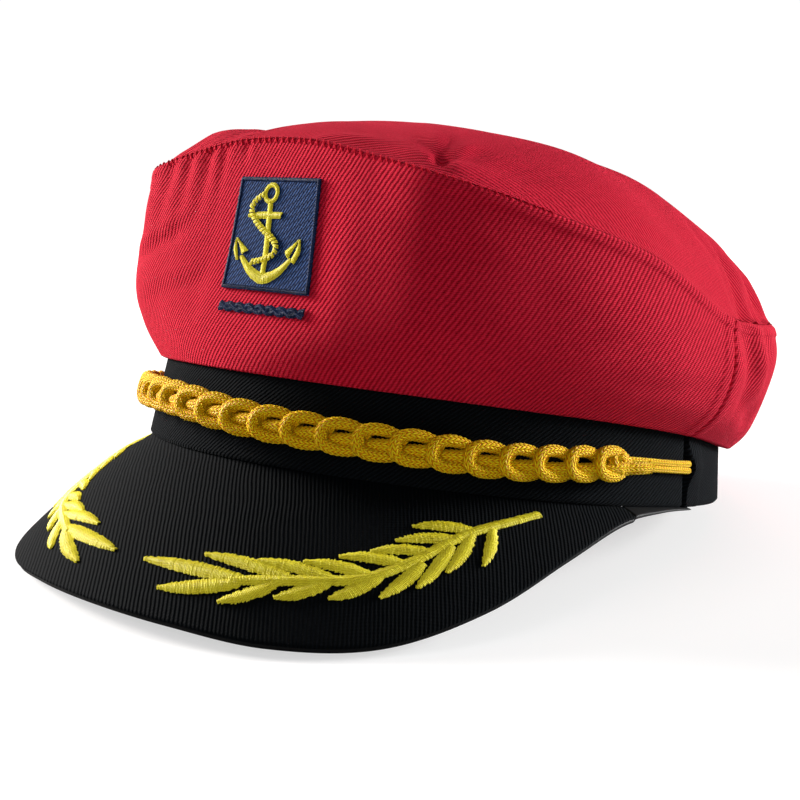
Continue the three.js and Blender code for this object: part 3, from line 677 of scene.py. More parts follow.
def top_relief(point, angle, seam_distance):
    """Outward relief of the top panel from slack, folds, pressed ridges and gathers."""
    x, y = point[..., 0], point[..., 1]
    slack = TOP_SLACK * soft_waves(x / TOP_WAVE, y / TOP_WAVE, seed=23)
    relief = slack * smooth(seam_distance, *TOP_SLACK_BEGINS)
    for from_x, from_y, to_x, to_y, wide, deep in zip(*TOP_CREASES.values()):
        relief -= crease(x, y, (from_x, from_y), (to_x, to_y), wide, deep, TOP_FOLD)
    turned = signed_angle(angle)
    pressed = plateau(turned, PRESSED_RISES, PRESSED_FALLS)
    for place, rise in PRESSED_RIDGES:
        relief += pressed * rise * hump(seam_distance - place, PRESSED_WIDTH)
    for at in TOP_GATHER_ANGLES:
        relief -= gather(signed_angle(angle - at), seam_distance, **TOP_GATHER)
    return relief


def build_top(name, columns=528, rows=64, under_rows=22):
    """Top panel: a dome of cloth whose rows run from the seam to its middle and back beneath."""
    angle = (np.arange(columns) * 360 / columns)[:, None]
    share = 1 - np.linspace(0, 1, rows) ** TOP_ROW_PACKING * TOP_ROWS_END
    point = top_point(angle, share[None, :])
    seam_distance = run_length(point, 1)
    around = np.roll(point, -1, axis=0) - np.roll(point, 1, axis=0)
    normal = unit(np.cross(around, np.gradient(point, axis=1)))
    normal *= np.sign(normal[..., 2:3].mean())
    radial = unit(point * [1, 1, 0])
    relief = top_relief(point, angle, seam_distance)
    roll = edge_roll(seam_distance, SEAM_ROLL)
    outer = point + normal * relief[..., None] - radial * roll[..., None]
    pick = np.linspace(rows - 1, 1, under_rows).astype(int)
    sunk = relief * smooth(seam_distance, *TOP_INNER_BEGINS) - CROWN_CLOTH
    under = (point + normal * sunk[..., None])[:, pick]
    edge = (point - radial * CROWN_CLOTH)[:, :1]
    turn = math.radians(TOP_GRAIN_TURN)
    spin = np.array([[math.cos(turn), -math.sin(turn)], [math.sin(turn), math.cos(turn)]])
    flat = (point - [0, -DOME_FORWARD, 0])[..., :2] @ spin * TOP_GRAIN_FINENESS
    weave = cloth_places(*[(part[..., 0], part[..., 1]) for part in (flat, flat[:, pick], flat[:, :1])])
    return disc(name, np.concatenate([outer, under, edge], axis=1), weave, rows)


def disc(name, loops, weave, rows):
    """Closed shell of a round panel: a ring of loops, with a small face at each middle."""
    columns, count = loops.shape[:2]
    index = np.arange(columns * count).reshape(columns, count)
    turned = np.roll(index, -1, axis=0)
    links = [(k, (k + 1) % count) for k in range(count) if k != rows - 1]
    faces = []
    for k, after in links:
        quad = np.stack([index[:, k], turned[:, k], turned[:, after], index[:, after]], axis=-1)
        faces += quad.tolist()
    faces.append(index[:, rows - 1].tolist())
    faces.append(index[::-1, rows].tolist())
    points = standing(loops.reshape(-1, 3))
    made = make_mesh(name, points, faces, weave.reshape(-1, 3))
    turn_outwards(made)
    return made


def turn_outwards(made):
    """Faces of a closed shell point away from its wall."""
    work = bmesh.new()
    work.from_mesh(made.data)
    bmesh.ops.recalc_face_normals(work, faces=work.faces)
    work.to_mesh(made.data)
    work.free()


# Band
# Radii that the band's long edges, its inner edges and its ends curl in by, and its slack
BAND_ROLL = 0.7
BAND_INNER_ROLL = 0.5
BAND_END_ROLL = 0.9
BAND_SLACK = 0.16
BAND_WAVES_ROUND = 9
BAND_WAVE_HEIGHT = 7
BAND_SLACK_BEGINS = (0, 6)

# End of the back piece, turned under: how high it stands, where it falls off, and its stitch line
TURNED_RISE = 0.5
TURNED_BEGINS = (0, 1.2)
TURNED_ENDS = (9, 11.5)
TURNED_STITCH = 10.4
STITCH_LINE_WIDTH = 0.8
STITCH_LINE_DEPTH = 0.5


def build_band(name, start, end, columns, swells, rows=30, inner_rows=8):
    """One piece of the band; the back one swells over the cord's ends."""
    angle = np.linspace(start, end, columns)[:, None]
    z = np.linspace(0, BAND_HEIGHT, rows)[None, :] + 0 * angle
    end_distance = np.minimum(angle - start, end - angle) * MM_PER_DEGREE
    roll = edge_roll(z, BAND_ROLL) + edge_roll(BAND_HEIGHT - z, BAND_ROLL)
    roll = roll + edge_roll(end_distance, BAND_END_ROLL)
    slack = BAND_SLACK * soft_waves(np.radians(angle) * BAND_WAVES_ROUND, z / BAND_WAVE_HEIGHT, seed=37)
    slack = slack * smooth(end_distance, *BAND_SLACK_BEGINS)
    swell = 0 * z
    if swells:
        swell = tuck_swell(angle, z)
        turned = plateau(end_distance, TURNED_BEGINS, TURNED_ENDS)
        stitched = STITCH_LINE_DEPTH * hump(end_distance - TURNED_STITCH, STITCH_LINE_WIDTH)
        slack = slack + TURNED_RISE * turned * (1 - stitched)
    outer = oval(angle, band_out(z) + swell + slack - roll, z)
    inner_z = np.linspace(BAND_HEIGHT, 0, inner_rows)[None, :] + 0 * angle
    inner_roll = edge_roll(inner_z, BAND_INNER_ROLL) + edge_roll(BAND_HEIGHT - inner_z, BAND_INNER_ROLL)
    inner = oval(angle, band_out(inner_z) - BAND_WALL + inner_roll, inner_z)
    along = np.broadcast_to(angle * MM_PER_DEGREE, z.shape)
    weave = cloth_places((along, z), (along[:, :inner_rows], inner_z))
    return loft(name, np.concatenate([outer, inner], axis=1), weave)


# Peak
# Rows of points of a peak layer lie closer at its outer edge, and where the cover ends; its edge
# is rounded by no more than these shares of its thickness
PEAK_ROW_PACKING = 1.5
CLOSE_COLUMNS = np.linspace(-0.6, 0.6, 7)
WIDEST_ROUNDING = 0.48
DEEPEST_ROUNDING = 0.49
PEAK_SHARP_EDGE = 60


def build_peak_layer(name, end, top_depth, thickness, rows, edge_radius, columns=240):
    """One layer of the peak, with its outer edge and its ends rounded."""
    close = COVER_END_ANGLE + CLOSE_COLUMNS
    angle = np.unique(np.concatenate([np.linspace(-end, end, columns), close, -close]))
    angle = angle[np.abs(angle) <= end][:, None]
    thin = peak_thin(angle)
    top = top_depth(angle, thin)
    wall = thickness * thin
    length = peak_length(angle)
    radius = np.minimum(edge_radius, wall * WIDEST_ROUNDING)
    end_roll = edge_roll((end - np.abs(angle)) * MM_PER_DEGREE, radius)
    share = 1 - (1 - np.linspace(0, 1, rows)) ** PEAK_ROW_PACKING
    share = share[None, :] + 0 * angle
    sides = []
    for part, face, inwards in ((share, top, 1), (share[:, ::-2], top + wall, -1)):
        roll = edge_roll((1 - part) * length, radius) + end_roll
        roll = np.minimum(roll, wall * DEEPEST_ROUNDING)
        sides.append(peak_point(angle, part, face + inwards * roll))
    weave = cloth_places(*[(part[..., 0], part[..., 1]) for part in sides])
    return loft(name, np.concatenate(sides, axis=1), weave, sharp=PEAK_SHARP_EDGE)


# Cord
CORD_RADIUS = 1.62
KNIT_COLUMNS = 7
KNIT_PITCH = 1.3
KNIT_DEPTH = 0.4
LINK_STATIONS = 96
LINK_SIDES = 18

# Centre line of one link of the plait: along as a share of the pitch, up and out in
# millimetres. Its head wraps round in front, one leg tucks behind the next head, and the
# other comes out again there as the strand along the middle.
LINK_LINE = table(
    "along up out",
    (1.3, 0.9, -1.5),
    (1.08, 2.1, -1.1),
    (0.78, 3.15, -0.2),
    (0.42, 3.3, 0.8),
    (0.12, 2.3, 1.45),
    (0.0, 0.2, 1.7),
    (0.06, -2.0, 1.5),
    (0.32, -3.2, 0.8),
    (0.68, -3.25, -0.1),
    (0.98, -2.6, -1.0),
    (1.16, -1.5, -1.5),
    (1.42, -0.8, -0.9),
    (1.75, -0.5, -0.75),
    (2.02, -0.2, -1.3),
    (2.2, 0.1, -1.6),
)


def follow(line, count):
    """Evenly spaced points along a smooth line."""
    fine = spline(list(line), np.linspace(0, 1, 40 * len(line)))
    walked = run_length(fine, 0)
    even = np.linspace(0, walked[-1], count)
    return np.stack([np.interp(even, walked, fine[:, k]) for k in range(3)], axis=-1)


def sweep(path, radius, sides, ring=False):
    """Round tube along a path: its points, directions outwards and lengths."""
    if ring:
        ahead = np.roll(path, -1, axis=0) - np.roll(path, 1, axis=0)
    else:
        ahead = np.gradient(path, axis=0)
    ahead = unit(ahead)
    side = np.cross(ahead[0], [0.31, 0.2, 0.93])
    side /= np.linalg.norm(side)
    turn = np.linspace(0, 2 * np.pi, sides, endpoint=False)
    outward = []
    for way in ahead:
        side = side - way * (side @ way)
        side /= np.linalg.norm(side)
        other = np.cross(way, side)
        outward.append(np.cos(turn)[:, None] * side + np.sin(turn)[:, None] * other)
    outward = np.array(outward)
    along = run_length(path, 0)[:, None] + 0 * turn
    around = turn * radius + 0 * along
    return path[:, None, :] + radius * outward, outward, along, around


def knit_relief(along, around, radius, columns, pitch, deep):
    """Columns of small slanting stitches that meet in V shapes."""
    leg = around / (2 * np.pi * radius) * columns * 2
    across = np.mod(leg, 1)
    slant = np.where(np.mod(np.floor(leg), 2) == 0, across, 1 - across)
    stitch = np.mod(along / pitch + 0.8 * slant, 1)
    return deep * np.sin(np.pi * stitch) * (0.35 + 0.65 * np.sin(np.pi * across))


def knit_tube(path, radius, sides, columns=KNIT_COLUMNS, deep=KNIT_DEPTH, ring=False):
    """Knitted cord along a path: its points and their places on the knit."""
    points, outward, along, around = sweep(path, radius, sides, ring)
    relief = knit_relief(along, around, radius, columns, KNIT_PITCH, deep)
    share = around / (2 * np.pi * radius) * columns
    return points + outward * (relief - deep / 2)[..., None], cloth_place(along / KNIT_PITCH, share)


def band_frame(angle, z):
    """On the band: place on its face, and its ways along, up and out."""
    angle, z = grids(angle, z)
    turn = np.radians(angle)
    place = oval(angle, band_out(z), z)
    along = unit(np.stack([HALF_WIDTH * np.cos(turn), HALF_LENGTH * np.sin(turn), 0 * turn], axis=-1))
    lean = BAND_LEAN / BAND_HEIGHT
    up = unit(np.stack([-np.sin(turn) * lean, np.cos(turn) * lean, 1 + 0 * turn], axis=-1))
    return place, along, up, np.cross(along, up)


def even_angles(end, count):
    """Angles of count+1 places at equal distances round the band, from -end to end."""
    fine = np.linspace(-end, end, 721)
    walked = run_length(oval(fine, 0, 0), 0)
    return np.interp(np.linspace(0, walked[-1], count + 1), walked, fine)


# Node trees
def add_node(tree, kind, settings=None, inputs=()):
    """Adds a node and returns its first output; an input is a value or the output that feeds it."""
    made = tree.nodes.new(kind)
    for name, value in (settings or {}).items():
        if name == "stops":
            points = made.color_ramp.elements
            while len(points) < len(value):
                points.new(0.5)
            for point, (place, code) in zip(points, value):
                point.position = place
                point.color = colour(code)
        else:
            setattr(made, name, value)
    for name, value in inputs.items() if isinstance(inputs, dict) else enumerate(inputs):
        if isinstance(value, bpy.types.NodeSocket):
            tree.links.new(value, made.inputs[name])
        else:
            made.inputs[name].default_value = colour(value) if str(value).startswith("#") else value
    return next((output for output in made.outputs if output.enabled), None)


def new_shape_tree(name, **sockets):
    """Node tree for shapes, the way to add its nodes, and what it is given."""
    tree = bpy.data.node_groups.new(name, "GeometryNodeTree")
    tree.interface.new_socket("Geometry", in_out="INPUT", socket_type="NodeSocketGeometry")
    for label, kind in sockets.items():
        tree.interface.new_socket(label, in_out="INPUT", socket_type="NodeSocket" + kind)
    tree.interface.new_socket("Geometry", in_out="OUTPUT", socket_type="NodeSocketGeometry")
    return tree, partial(add_node, tree), tree.nodes.new("NodeGroupInput").outputs


def end_tree(node, shape, material):
    """Ends a tree for shapes: one smooth mesh of one material."""
    whole = node("GeometryNodeRealizeInstances", None, {"Geometry": shape})
    soft = node("GeometryNodeSetShadeSmooth", None, {"Geometry": whole})
    painted = node("GeometryNodeSetMaterial", None, {"Geometry": soft, "Material": material})
    node("NodeGroupOutput", None, {"Geometry": painted})


def grow(name, carrier, tree, **values):
    """Runs a node tree on a carrier mesh and keeps the result as a plain mesh."""
    modifier = carrier.modifiers.new("grow", "NODES")
    modifier.node_group = tree
    for item in tree.interface.items_tree:
        if item.name in values:
            modifier[item.identifier] = values[item.name]
    bpy.context.view_layer.update()
    graph = bpy.context.evaluated_depsgraph_get()
    mesh = bpy.data.meshes.new_from_object(carrier.evaluated_get(graph))
    mesh.name = name
    carrier.modifiers.remove(modifier)
    bpy.data.objects.remove(carrier)
    return add_object(name, mesh)


def thread_tree():
    """Turns every edge line of a carrier into a thin round thread."""
    tree, node, given = new_shape_tree("satin threads", Radius="Float", Sides="Int", Material="Material")
    lines = node("GeometryNodeMeshToCurve", None, {"Mesh": given["Geometry"]})
    place = node("GeometryNodeSplineParameter").node
    length = node("ShaderNodeCombineXYZ", None, {"X": place.outputs["Length"]})
    marked = node(
        "GeometryNodeStoreNamedAttribute", {"data_type": "FLOAT_VECTOR", "domain": "POINT"},
        {"Geometry": lines, "Name": "weave", "Value": length},
    )
    section = node(
        "GeometryNodeCurvePrimitiveCircle", None, {"Resolution": given["Sides"], "Radius": given["Radius"]}
    )
    threads = node(
        "GeometryNodeCurveToMesh", None, {"Curve": marked, "Profile Curve": section, "Fill Caps": True}
    )
    end_tree(node, threads, given["Material"])
    return tree


def link_tree():
    """Sets one link on every point of a carrier, turned to the ways stored on it."""
    tree, node, given = new_shape_tree("plait of links", Link="Object", Material="Material")
    link = node("GeometryNodeObjectInfo", None, {"Object": given["Link"]}).node
    way_out, way_along = (
        node("GeometryNodeInputNamedAttribute", {"data_type": "FLOAT_VECTOR"}, {"Name": way})
        for way in ("way_out", "way_along")
    )
    turn = node(
        "FunctionNodeAxesToRotation", {"primary_axis": "Z", "secondary_axis": "X"},
        {"Primary Axis": way_out, "Secondary Axis": way_along},
    )
    links = node(
        "GeometryNodeInstanceOnPoints", None,
        {"Points": given["Geometry"], "Instance": link.outputs["Geometry"], "Rotation": turn},
    )
    end_tree(node, links, given["Material"])
    return tree


def add_carrier(points, edges):
    """Bare mesh of points and edge lines for a node tree to work on."""
    mesh = bpy.data.meshes.new("carrier")
    mesh.from_pydata(points.tolist(), edges, [])
    return add_object("carrier", mesh)


def line_carrier(stitches):
    """Carrier of edge lines, from rows of points in the wearing frame."""
    points, edges, start = [], [], 0
    for stitch in stitches:
        points.append(standing(stitch))
        edges += [(start + i, start + i + 1) for i in range(len(stitch) - 1)]
        start += len(stitch)
    return add_carrier(np.concatenate(points), edges)


def join(name, objects):
    """Joins several meshes into the first one."""
    first = objects[0]
    with bpy.context.temp_override(
        active_object=first, object=first, selected_editable_objects=objects, selected_objects=objects
    ):
        bpy.ops.object.join()
    first.name = name
    first.data.name = name
    return first


# Plait: how far its links are turned on from even places, in degrees, and how deep they sit
LINK_SHIFT = 0.3
LINK_SINK = 0.1


def build_plait(name, material):
    """Plaited cord: links in a row along the band, closed by a knot at each end."""
    angles = even_angles(BRAID_END_ANGLE, BRAID_LINKS)
    pitch = run_length(oval(angles, 4, 0), 0)[-1] / BRAID_LINKS
    line = np.stack([LINK_LINE["along"] * pitch, LINK_LINE["up"], LINK_LINE["out"]], axis=-1)
    points, weave = knit_tube(follow(line, LINK_STATIONS), CORD_RADIUS, LINK_SIDES)
    index = np.arange(points.shape[0] * points.shape[1]).reshape(points.shape[:2])
    after = np.roll(index, -1, axis=1)
    faces = np.stack([index[:-1], after[:-1], after[1:], index[1:]], axis=-1).reshape(-1, 4).tolist()
    faces += [index[0, ::-1].tolist(), index[-1].tolist()]
    link = make_mesh("link", points * MM, faces, weave.reshape(-1, 3))
    turn_outwards(link)

    middles = angles[:-1] + LINK_SHIFT
    place, along, _, out = band_frame(middles, cord_rise(middles))
    lift = CLEARANCE + BRAID_THICKNESS / 2 - LINK_SINK
    carrier = add_carrier(standing(place + out * lift), [])
    for label, way in (("way_out", out), ("way_along", along)):
        turned = standing(way) - standing(np.zeros(3))
        layer = carrier.data.attributes.new(label, "FLOAT_VECTOR", "POINT")
        layer.data.foreach_set("vector", np.asarray(turned / MM, np.float32).reshape(-1))
    plait = grow(name, carrier, link_tree(), Link=link, Material=material)
    bpy.data.objects.remove(link)
    return join(name, [plait] + [build_knot(end, material) for end in (-1, 1)])


# Knot: how far it lies back from the plait's end, how far its middle stands off the band, its
# reach and the swing of it, how much taller and deeper than wide it is, and how thin its cord
KNOT_BACK = 0.6
KNOT_LIFT = CLEARANCE + 2.7
KNOT_REACH = 1.75
KNOT_SWING = 0.42
KNOT_TALL = 1.25
KNOT_DEEP = 1.2
KNOT_THIN = 0.82


def build_knot(end, material):
    """Round turn of the cord that closes the plait, over the place where its tail leaves."""
    angle = end * (BRAID_END_ANGLE - KNOT_BACK)
    place, along, up, out = band_frame(angle, cord_rise(angle))
    turn = np.linspace(0, 4 * np.pi, 120, endpoint=False)
    reach = KNOT_REACH * (1 + KNOT_SWING * np.cos(1.5 * turn))
    tall = reach * np.sin(turn) * KNOT_TALL
    path = place + out * KNOT_LIFT + tall[:, None] * up + (reach * np.cos(turn))[:, None] * along
    path = path + np.sin(1.5 * turn)[:, None] * out * KNOT_DEEP
    points, weave = knit_tube(path, CORD_RADIUS * KNOT_THIN, 16, ring=True)
    knot = loft("knot", points, weave, ring=True)
    turn_outwards(knot)
    knot.data.materials.append(material)
    return knot


# Tail: radius of its strands, how near they lie to each other as a share of it, how they
# waver, and how far past the knot and short of the tuck their ends are, in degrees
TAIL_RADIUS = TAIL_STRAND * 0.38
TAIL_SPREAD = 0.96
TAIL_SLACK = 0.1
TAIL_BEGINS = BRAID_END_ANGLE + 0.6
TAIL_ENDS = TUCK_ANGLE - 0.12
TAIL_STATIONS = 90


def build_tail(name, side, material):
    """Two thin strands from the knot into the tuck of the band."""
    angle = np.linspace(TAIL_BEGINS, TAIL_ENDS, TAIL_STATIONS)
    strands = []
    for shift in (-1, 1):
        slack = TAIL_SLACK * np.sin(np.linspace(0, 5 + shift, TAIL_STATIONS))
        z = cord_rise(angle) + shift * TAIL_RADIUS * TAIL_SPREAD + slack
        path = oval(side * angle, band_out(z) + CLEARANCE + TAIL_RADIUS, z)
        points, weave = knit_tube(path, TAIL_RADIUS, 14, columns=4, deep=0.14)
        strands.append(loft("strand", points, weave))
        turn_outwards(strands[-1])
    tail = join(name, strands)
    tail.data.materials.append(material)
    return tail


# Embroidery
THREAD_PITCH = 0.4
THREAD_RADIUS = 0.24
THREAD_SIDES = 6
STITCH_ARCH = (-0.15, 0.62, 1.0, 0.62, -0.15)

# How uneven the stitches' heights are, as a share and in millimetres; short stitches lie lower
ARCH_UNEVEN = 0.1
LAY_UNEVEN = 0.05
LOWEST_ARCH = 0.45
FULL_ARCH_WIDTH = 2.2


def satin(line, widths, bend, seed, pitch=THREAD_PITCH, arch=0.55, slant=0.2, ragged=0.16, cut=None):
    """Threads laid side by side across a line, each rising in its middle."""
    dice = np.random.default_rng(seed)
    fine = spline(list(np.asarray(line, float)), np.linspace(0, 1, 400))
    walked = run_length(fine, 0)
    count = max(3, int(walked[-1] / pitch))
    even = np.linspace(0, walked[-1], count)
    centre = np.stack([np.interp(even, walked, fine[:, k]) for k in range(2)], axis=-1)
    ahead = unit(np.gradient(centre, axis=0))
    across = np.stack([-ahead[:, 1], ahead[:, 0]], axis=-1) + slant * ahead
    place = np.linspace(0, 1, len(widths))
    half = np.interp(even / walked[-1], place, widths) / 2
    stitches = []
    for i in range(count):
        if cut is not None and cut(i):
            continue
        ends = half[i] + dice.uniform(-ragged, ragged, 2)
        shares = np.linspace(-1, 1, len(STITCH_ARCH))
        reach = np.where(shares < 0, ends[0], ends[1]) * shares
        flat = centre[i] + reach[:, None] * across[i]
        height = arch * min(1, LOWEST_ARCH + half[i] / FULL_ARCH_WIDTH)
        height = height * (1 + dice.uniform(-ARCH_UNEVEN, ARCH_UNEVEN))
        rise = np.array(STITCH_ARCH) * height + dice.uniform(0, LAY_UNEVEN)
        stitches.append(bend(flat[:, 0], flat[:, 1], rise))
    return stitches


# Angles and heights of the crown's front at which its distance out is worked out beforehand
FRONT_ANGLES = np.linspace(-24, 24, 97)
FRONT_HEIGHTS = np.linspace(26, 84, 117)


def front_table():
    """How far out the crown's front lies, over angle and height."""
    t = np.linspace(0, 1, 241)
    rows = []
    for angle in FRONT_ANGLES:
        out, z = crown_line(angle, t)
        rows.append(np.interp(FRONT_HEIGHTS, z, out))
    return np.array(rows)


FRONT_OUT = front_table()


def front_point(x, z, lift):
    """Place on the front of the crown at a distance from the middle line and a height."""
    x, z, lift = grids(x, z, lift)
    angle = np.zeros_like(x)
    step_a = FRONT_ANGLES[1] - FRONT_ANGLES[0]
    step_z = FRONT_HEIGHTS[1] - FRONT_HEIGHTS[0]
    for _ in range(5):
        a = np.clip((angle - FRONT_ANGLES[0]) / step_a, 0, len(FRONT_ANGLES) - 1.001)
        b = np.clip((z - FRONT_HEIGHTS[0]) / step_z, 0, len(FRONT_HEIGHTS) - 1.001)
        i, j = a.astype(int), b.astype(int)
        u, v = a - i, b - j
        low = FRONT_OUT[i, j] * (1 - u) + FRONT_OUT[i + 1, j] * u
        high = FRONT_OUT[i, j + 1] * (1 - u) + FRONT_OUT[i + 1, j + 1] * u
        out = low * (1 - v) + high * v
        angle = np.degrees(np.arcsin(x / (HALF_WIDTH + out)))
    return oval(angle, out + lift, z)


# Badge: how far its outer face, its inner face and the feet of its border's and its anchor's
# threads stand off the crown, how much higher the rope lies, and how wide the border is
PATCH_LIFT = 0.7
PATCH_SEAT = 0.12
BORDER_LIFT = 0.6
ANCHOR_LIFT = 0.75
ROPE_RISE = 0.35
PATCH_BORDER = 1.0


def patch_place(across, share):
    """Distance from the middle line and height, by shares across (-1 to 1) and up."""
    width = BADGE_WIDTH + BADGE_NARROWING * (0.5 - share)
    x = BADGE_SHIFT + BADGE_LEAN * (0.5 - share) + across * width / 2
    return x, BADGE_RISE + (share - 0.5) * BADGE_HEIGHT + 0 * across


def build_patch(name):
    """Cloth of the badge: a thin slab that follows the crown's front."""
    across = np.linspace(-1, 1, 49)[:, None]
    share = np.linspace(0, 1, 45)[None, :]
    x, z = patch_place(across, share)
    outer = front_point(x, z, PATCH_LIFT)
    inner = front_point(x, z, PATCH_SEAT)[:, ::-4]
    weave = cloth_places((x, z), (x[:, ::-4], z[:, ::-4]))
    return loft(name, np.concatenate([outer, inner], axis=1), weave)


def patch_border_stitches():
    """Satin border all round the patch."""
    side, end = PATCH_BORDER / BADGE_WIDTH, PATCH_BORDER / BADGE_HEIGHT / 2
    marks = ((-1 + side, end), (1 - side, end), (1 - side, 1 - end), (-1 + side, 1 - end))
    corners = [patch_place(across, share) for across, share in marks]
    bend = lambda x, z, rise: front_point(x, z, BORDER_LIFT + rise)
    stitches = []
    for i in range(4):
        a, b = np.array(corners[i]), np.array(corners[(i + 1) % 4])
        line = [a + (b - a) * k for k in (0, 0.33, 0.67, 1)]
        stitches += satin(line, [PATCH_BORDER] * 2, bend, 50 + i, slant=0.1, arch=0.3, ragged=0.05)
    return stitches


# Anchor, seen from the front: its shank, stock and arm, then its left and right barbs, the
# inner before the outer; shares of the badge height from the badge's middle
ANCHOR_PARTS = [table("side up thick", *rows) for rows in (
    ((-0.082, 0.262, 0.05), (-0.062, 0.1, 0.054), (-0.03, -0.14, 0.054), (-0.012, -0.34, 0.05)),
    ((-0.315, 0.158, 0.03), (-0.25, 0.16, 0.056), (-0.08, 0.165, 0.056), (0.065, 0.168, 0.05)),
    ((-0.31, -0.215, 0.035), (-0.157, -0.337, 0.075), (0.01, -0.39, 0.1), (0.159, -0.327, 0.075),
     (0.27, -0.215, 0.035)),
    ((-0.405, -0.055, 0.0), (-0.345, -0.11, 0.03), (-0.285, -0.168, 0.07)),
    ((-0.416, -0.055, 0.0), (-0.408, -0.145, 0.038), (-0.362, -0.24, 0.02)),
    ((0.322, -0.04, 0.0), (0.275, -0.1, 0.03), (0.222, -0.168, 0.07)),
    ((0.338, -0.035, 0.0), (0.342, -0.13, 0.05), (0.302, -0.225, 0.05)),
)]
ANCHOR_ROPE = table(
    "side up thick",
    (-0.165, 0.355, 0.04),
    (-0.262, 0.285, 0.05),
    (-0.286, 0.208, 0.052),
    (-0.208, 0.109, 0.054),
    (-0.095, 0.029, 0.054),
    (0.001, -0.024, 0.054),
    (0.08, -0.096, 0.052),
    (0.068, -0.175, 0.05),
    (-0.03, -0.222, 0.044),
    (-0.175, -0.259, 0.05),
)
ANCHOR_RING = {"side": -0.096, "up": 0.36, "wide": 0.072, "high": 0.075, "thick": 0.036}
ROPE_TURN = 3


def anchor_stitches():
    """Anchor of the badge: shank, stock, arm and barbs, the ring, and the rope over them."""
    def bend(x, y, rise):
        return front_point(BADGE_SHIFT + x, BADGE_RISE + y, ANCHOR_LIFT + rise)

    def lifted(x, y, rise):
        return bend(x, y, rise + ROPE_RISE)

    def line(rows):
        return np.stack([rows["side"], rows["up"]], axis=-1) * BADGE_HEIGHT

    stitches = []
    for seed, rows in enumerate(ANCHOR_PARTS):
        widths = rows["thick"] * BADGE_HEIGHT
        stitches += satin(line(rows), widths, bend, seed, arch=0.42, slant=0.3, ragged=0.06)
    turn = np.linspace(0, 2 * np.pi, 13)
    ring = np.stack([
        ANCHOR_RING["side"] + ANCHOR_RING["wide"] * np.cos(turn),
        ANCHOR_RING["up"] + ANCHOR_RING["high"] * np.sin(turn),
    ], axis=-1) * BADGE_HEIGHT
    thick = ANCHOR_RING["thick"] * BADGE_HEIGHT
    stitches += satin(ring, [thick, thick], bend, 30, arch=0.4, slant=0, ragged=0.04)
    widths = ANCHOR_ROPE["thick"] * BADGE_HEIGHT
    rope = line(ANCHOR_ROPE)
    gap = lambda i: i % ROPE_TURN == 0
    return stitches + satin(rope, widths, lifted, 31, arch=0.4, slant=0.55, ragged=0.05, cut=gap)


WAVE_TURNS = 8
WAVE_LIFT = 0.22


def wave_stitches():
    """Plain twisted bar under the badge: two strands that cross each other."""
    middle = BADGE_RISE - BADGE_HEIGHT / 2 - WAVE_BELOW_BADGE

    def bend(x, y, rise, over):
        crossing = 1 + over * np.sin(x / WAVE_LENGTH * WAVE_TURNS * np.pi)
        lift = WAVE_LIFT + rise + WAVE_LIFT * crossing
        return front_point(BADGE_SHIFT + WAVE_SHIFT + x, middle + y, lift)

    place = np.linspace(-0.5, 0.5, 41)
    stitches = []
    for phase, seed in ((-1, 61), (1, 62)):
        swing = phase * np.cos(place * WAVE_TURNS * np.pi)
        line = np.stack([place * (WAVE_LENGTH - 1), swing * WAVE_WIDTH * 0.25], axis=-1)
        laid = partial(bend, over=0.3 * phase)
        stitches += satin(line, [WAVE_WIDTH * 0.5] * 2, laid, seed, arch=0.36, slant=0.3, ragged=0.05)
    return stitches


# Laurel sprig by angle from the front and distance from the peak's root as a share of its
# reach: each leaf's tip, where it joins the stem, and how far its middle bows.
LAUREL_LEAVES = table(
    "at root to_at to_root bow wide",
    (2.9, 1.041, 17.1, 1.021, -0.5, 3.9),
    (10.9, 0.89, 22.9, 0.943, -0.9, 3.6),
    (18.1, 0.851, 28.3, 0.901, -0.9, 3.4),
    (23.9, 0.796, 32.6, 0.834, -0.9, 3.4),
    (28.1, 0.709, 36.3, 0.702, -0.9, 3.3),
    (31.9, 0.629, 39.3, 0.586, -0.8, 3.2),
    (34.9, 0.516, 43.1, 0.456, -0.8, 3.2),
    (36.9, 0.372, 45.6, 0.373, -1.1, 3.3),
    (7.6, 1.222, 17.1, 1.048, 0.5, 4.2),
    (15.9, 1.219, 21.6, 0.992, 0.7, 3.9),
    (22.1, 1.108, 27.6, 0.922, 0.7, 3.9),
    (28.3, 1.049, 33.6, 0.816, 0.7, 3.9),
    (34.1, 0.984, 38.6, 0.687, 0.6, 3.8),
    (38.3, 0.883, 42.3, 0.522, 0.6, 3.8),
    (41.9, 0.74, 45.1, 0.41, 0.6, 3.7),
    (46.6, 0.666, 48.3, 0.35, 0.6, 3.4),
)
LAUREL_STEM = table(
    "at root thick",
    (16.0, 1.045, 2.6),
    (22.9, 0.965, 3.0),
    (29.6, 0.892, 2.8),
    (33.6, 0.807, 2.8),
    (37.9, 0.659, 2.8),
    (42.3, 0.48, 2.8),
    (46.6, 0.35, 2.5),
    (56.1, 0.168, 2.3),
)
LEAF_WIDTHS = (0.22, 0.62, 0.86, 0.98, 1.0, 0.92, 0.7)
ARC_PER_DEGREE = math.radians(HALF_LENGTH + PEAK_REACH / 2)
LAUREL_LIFT = 0.12


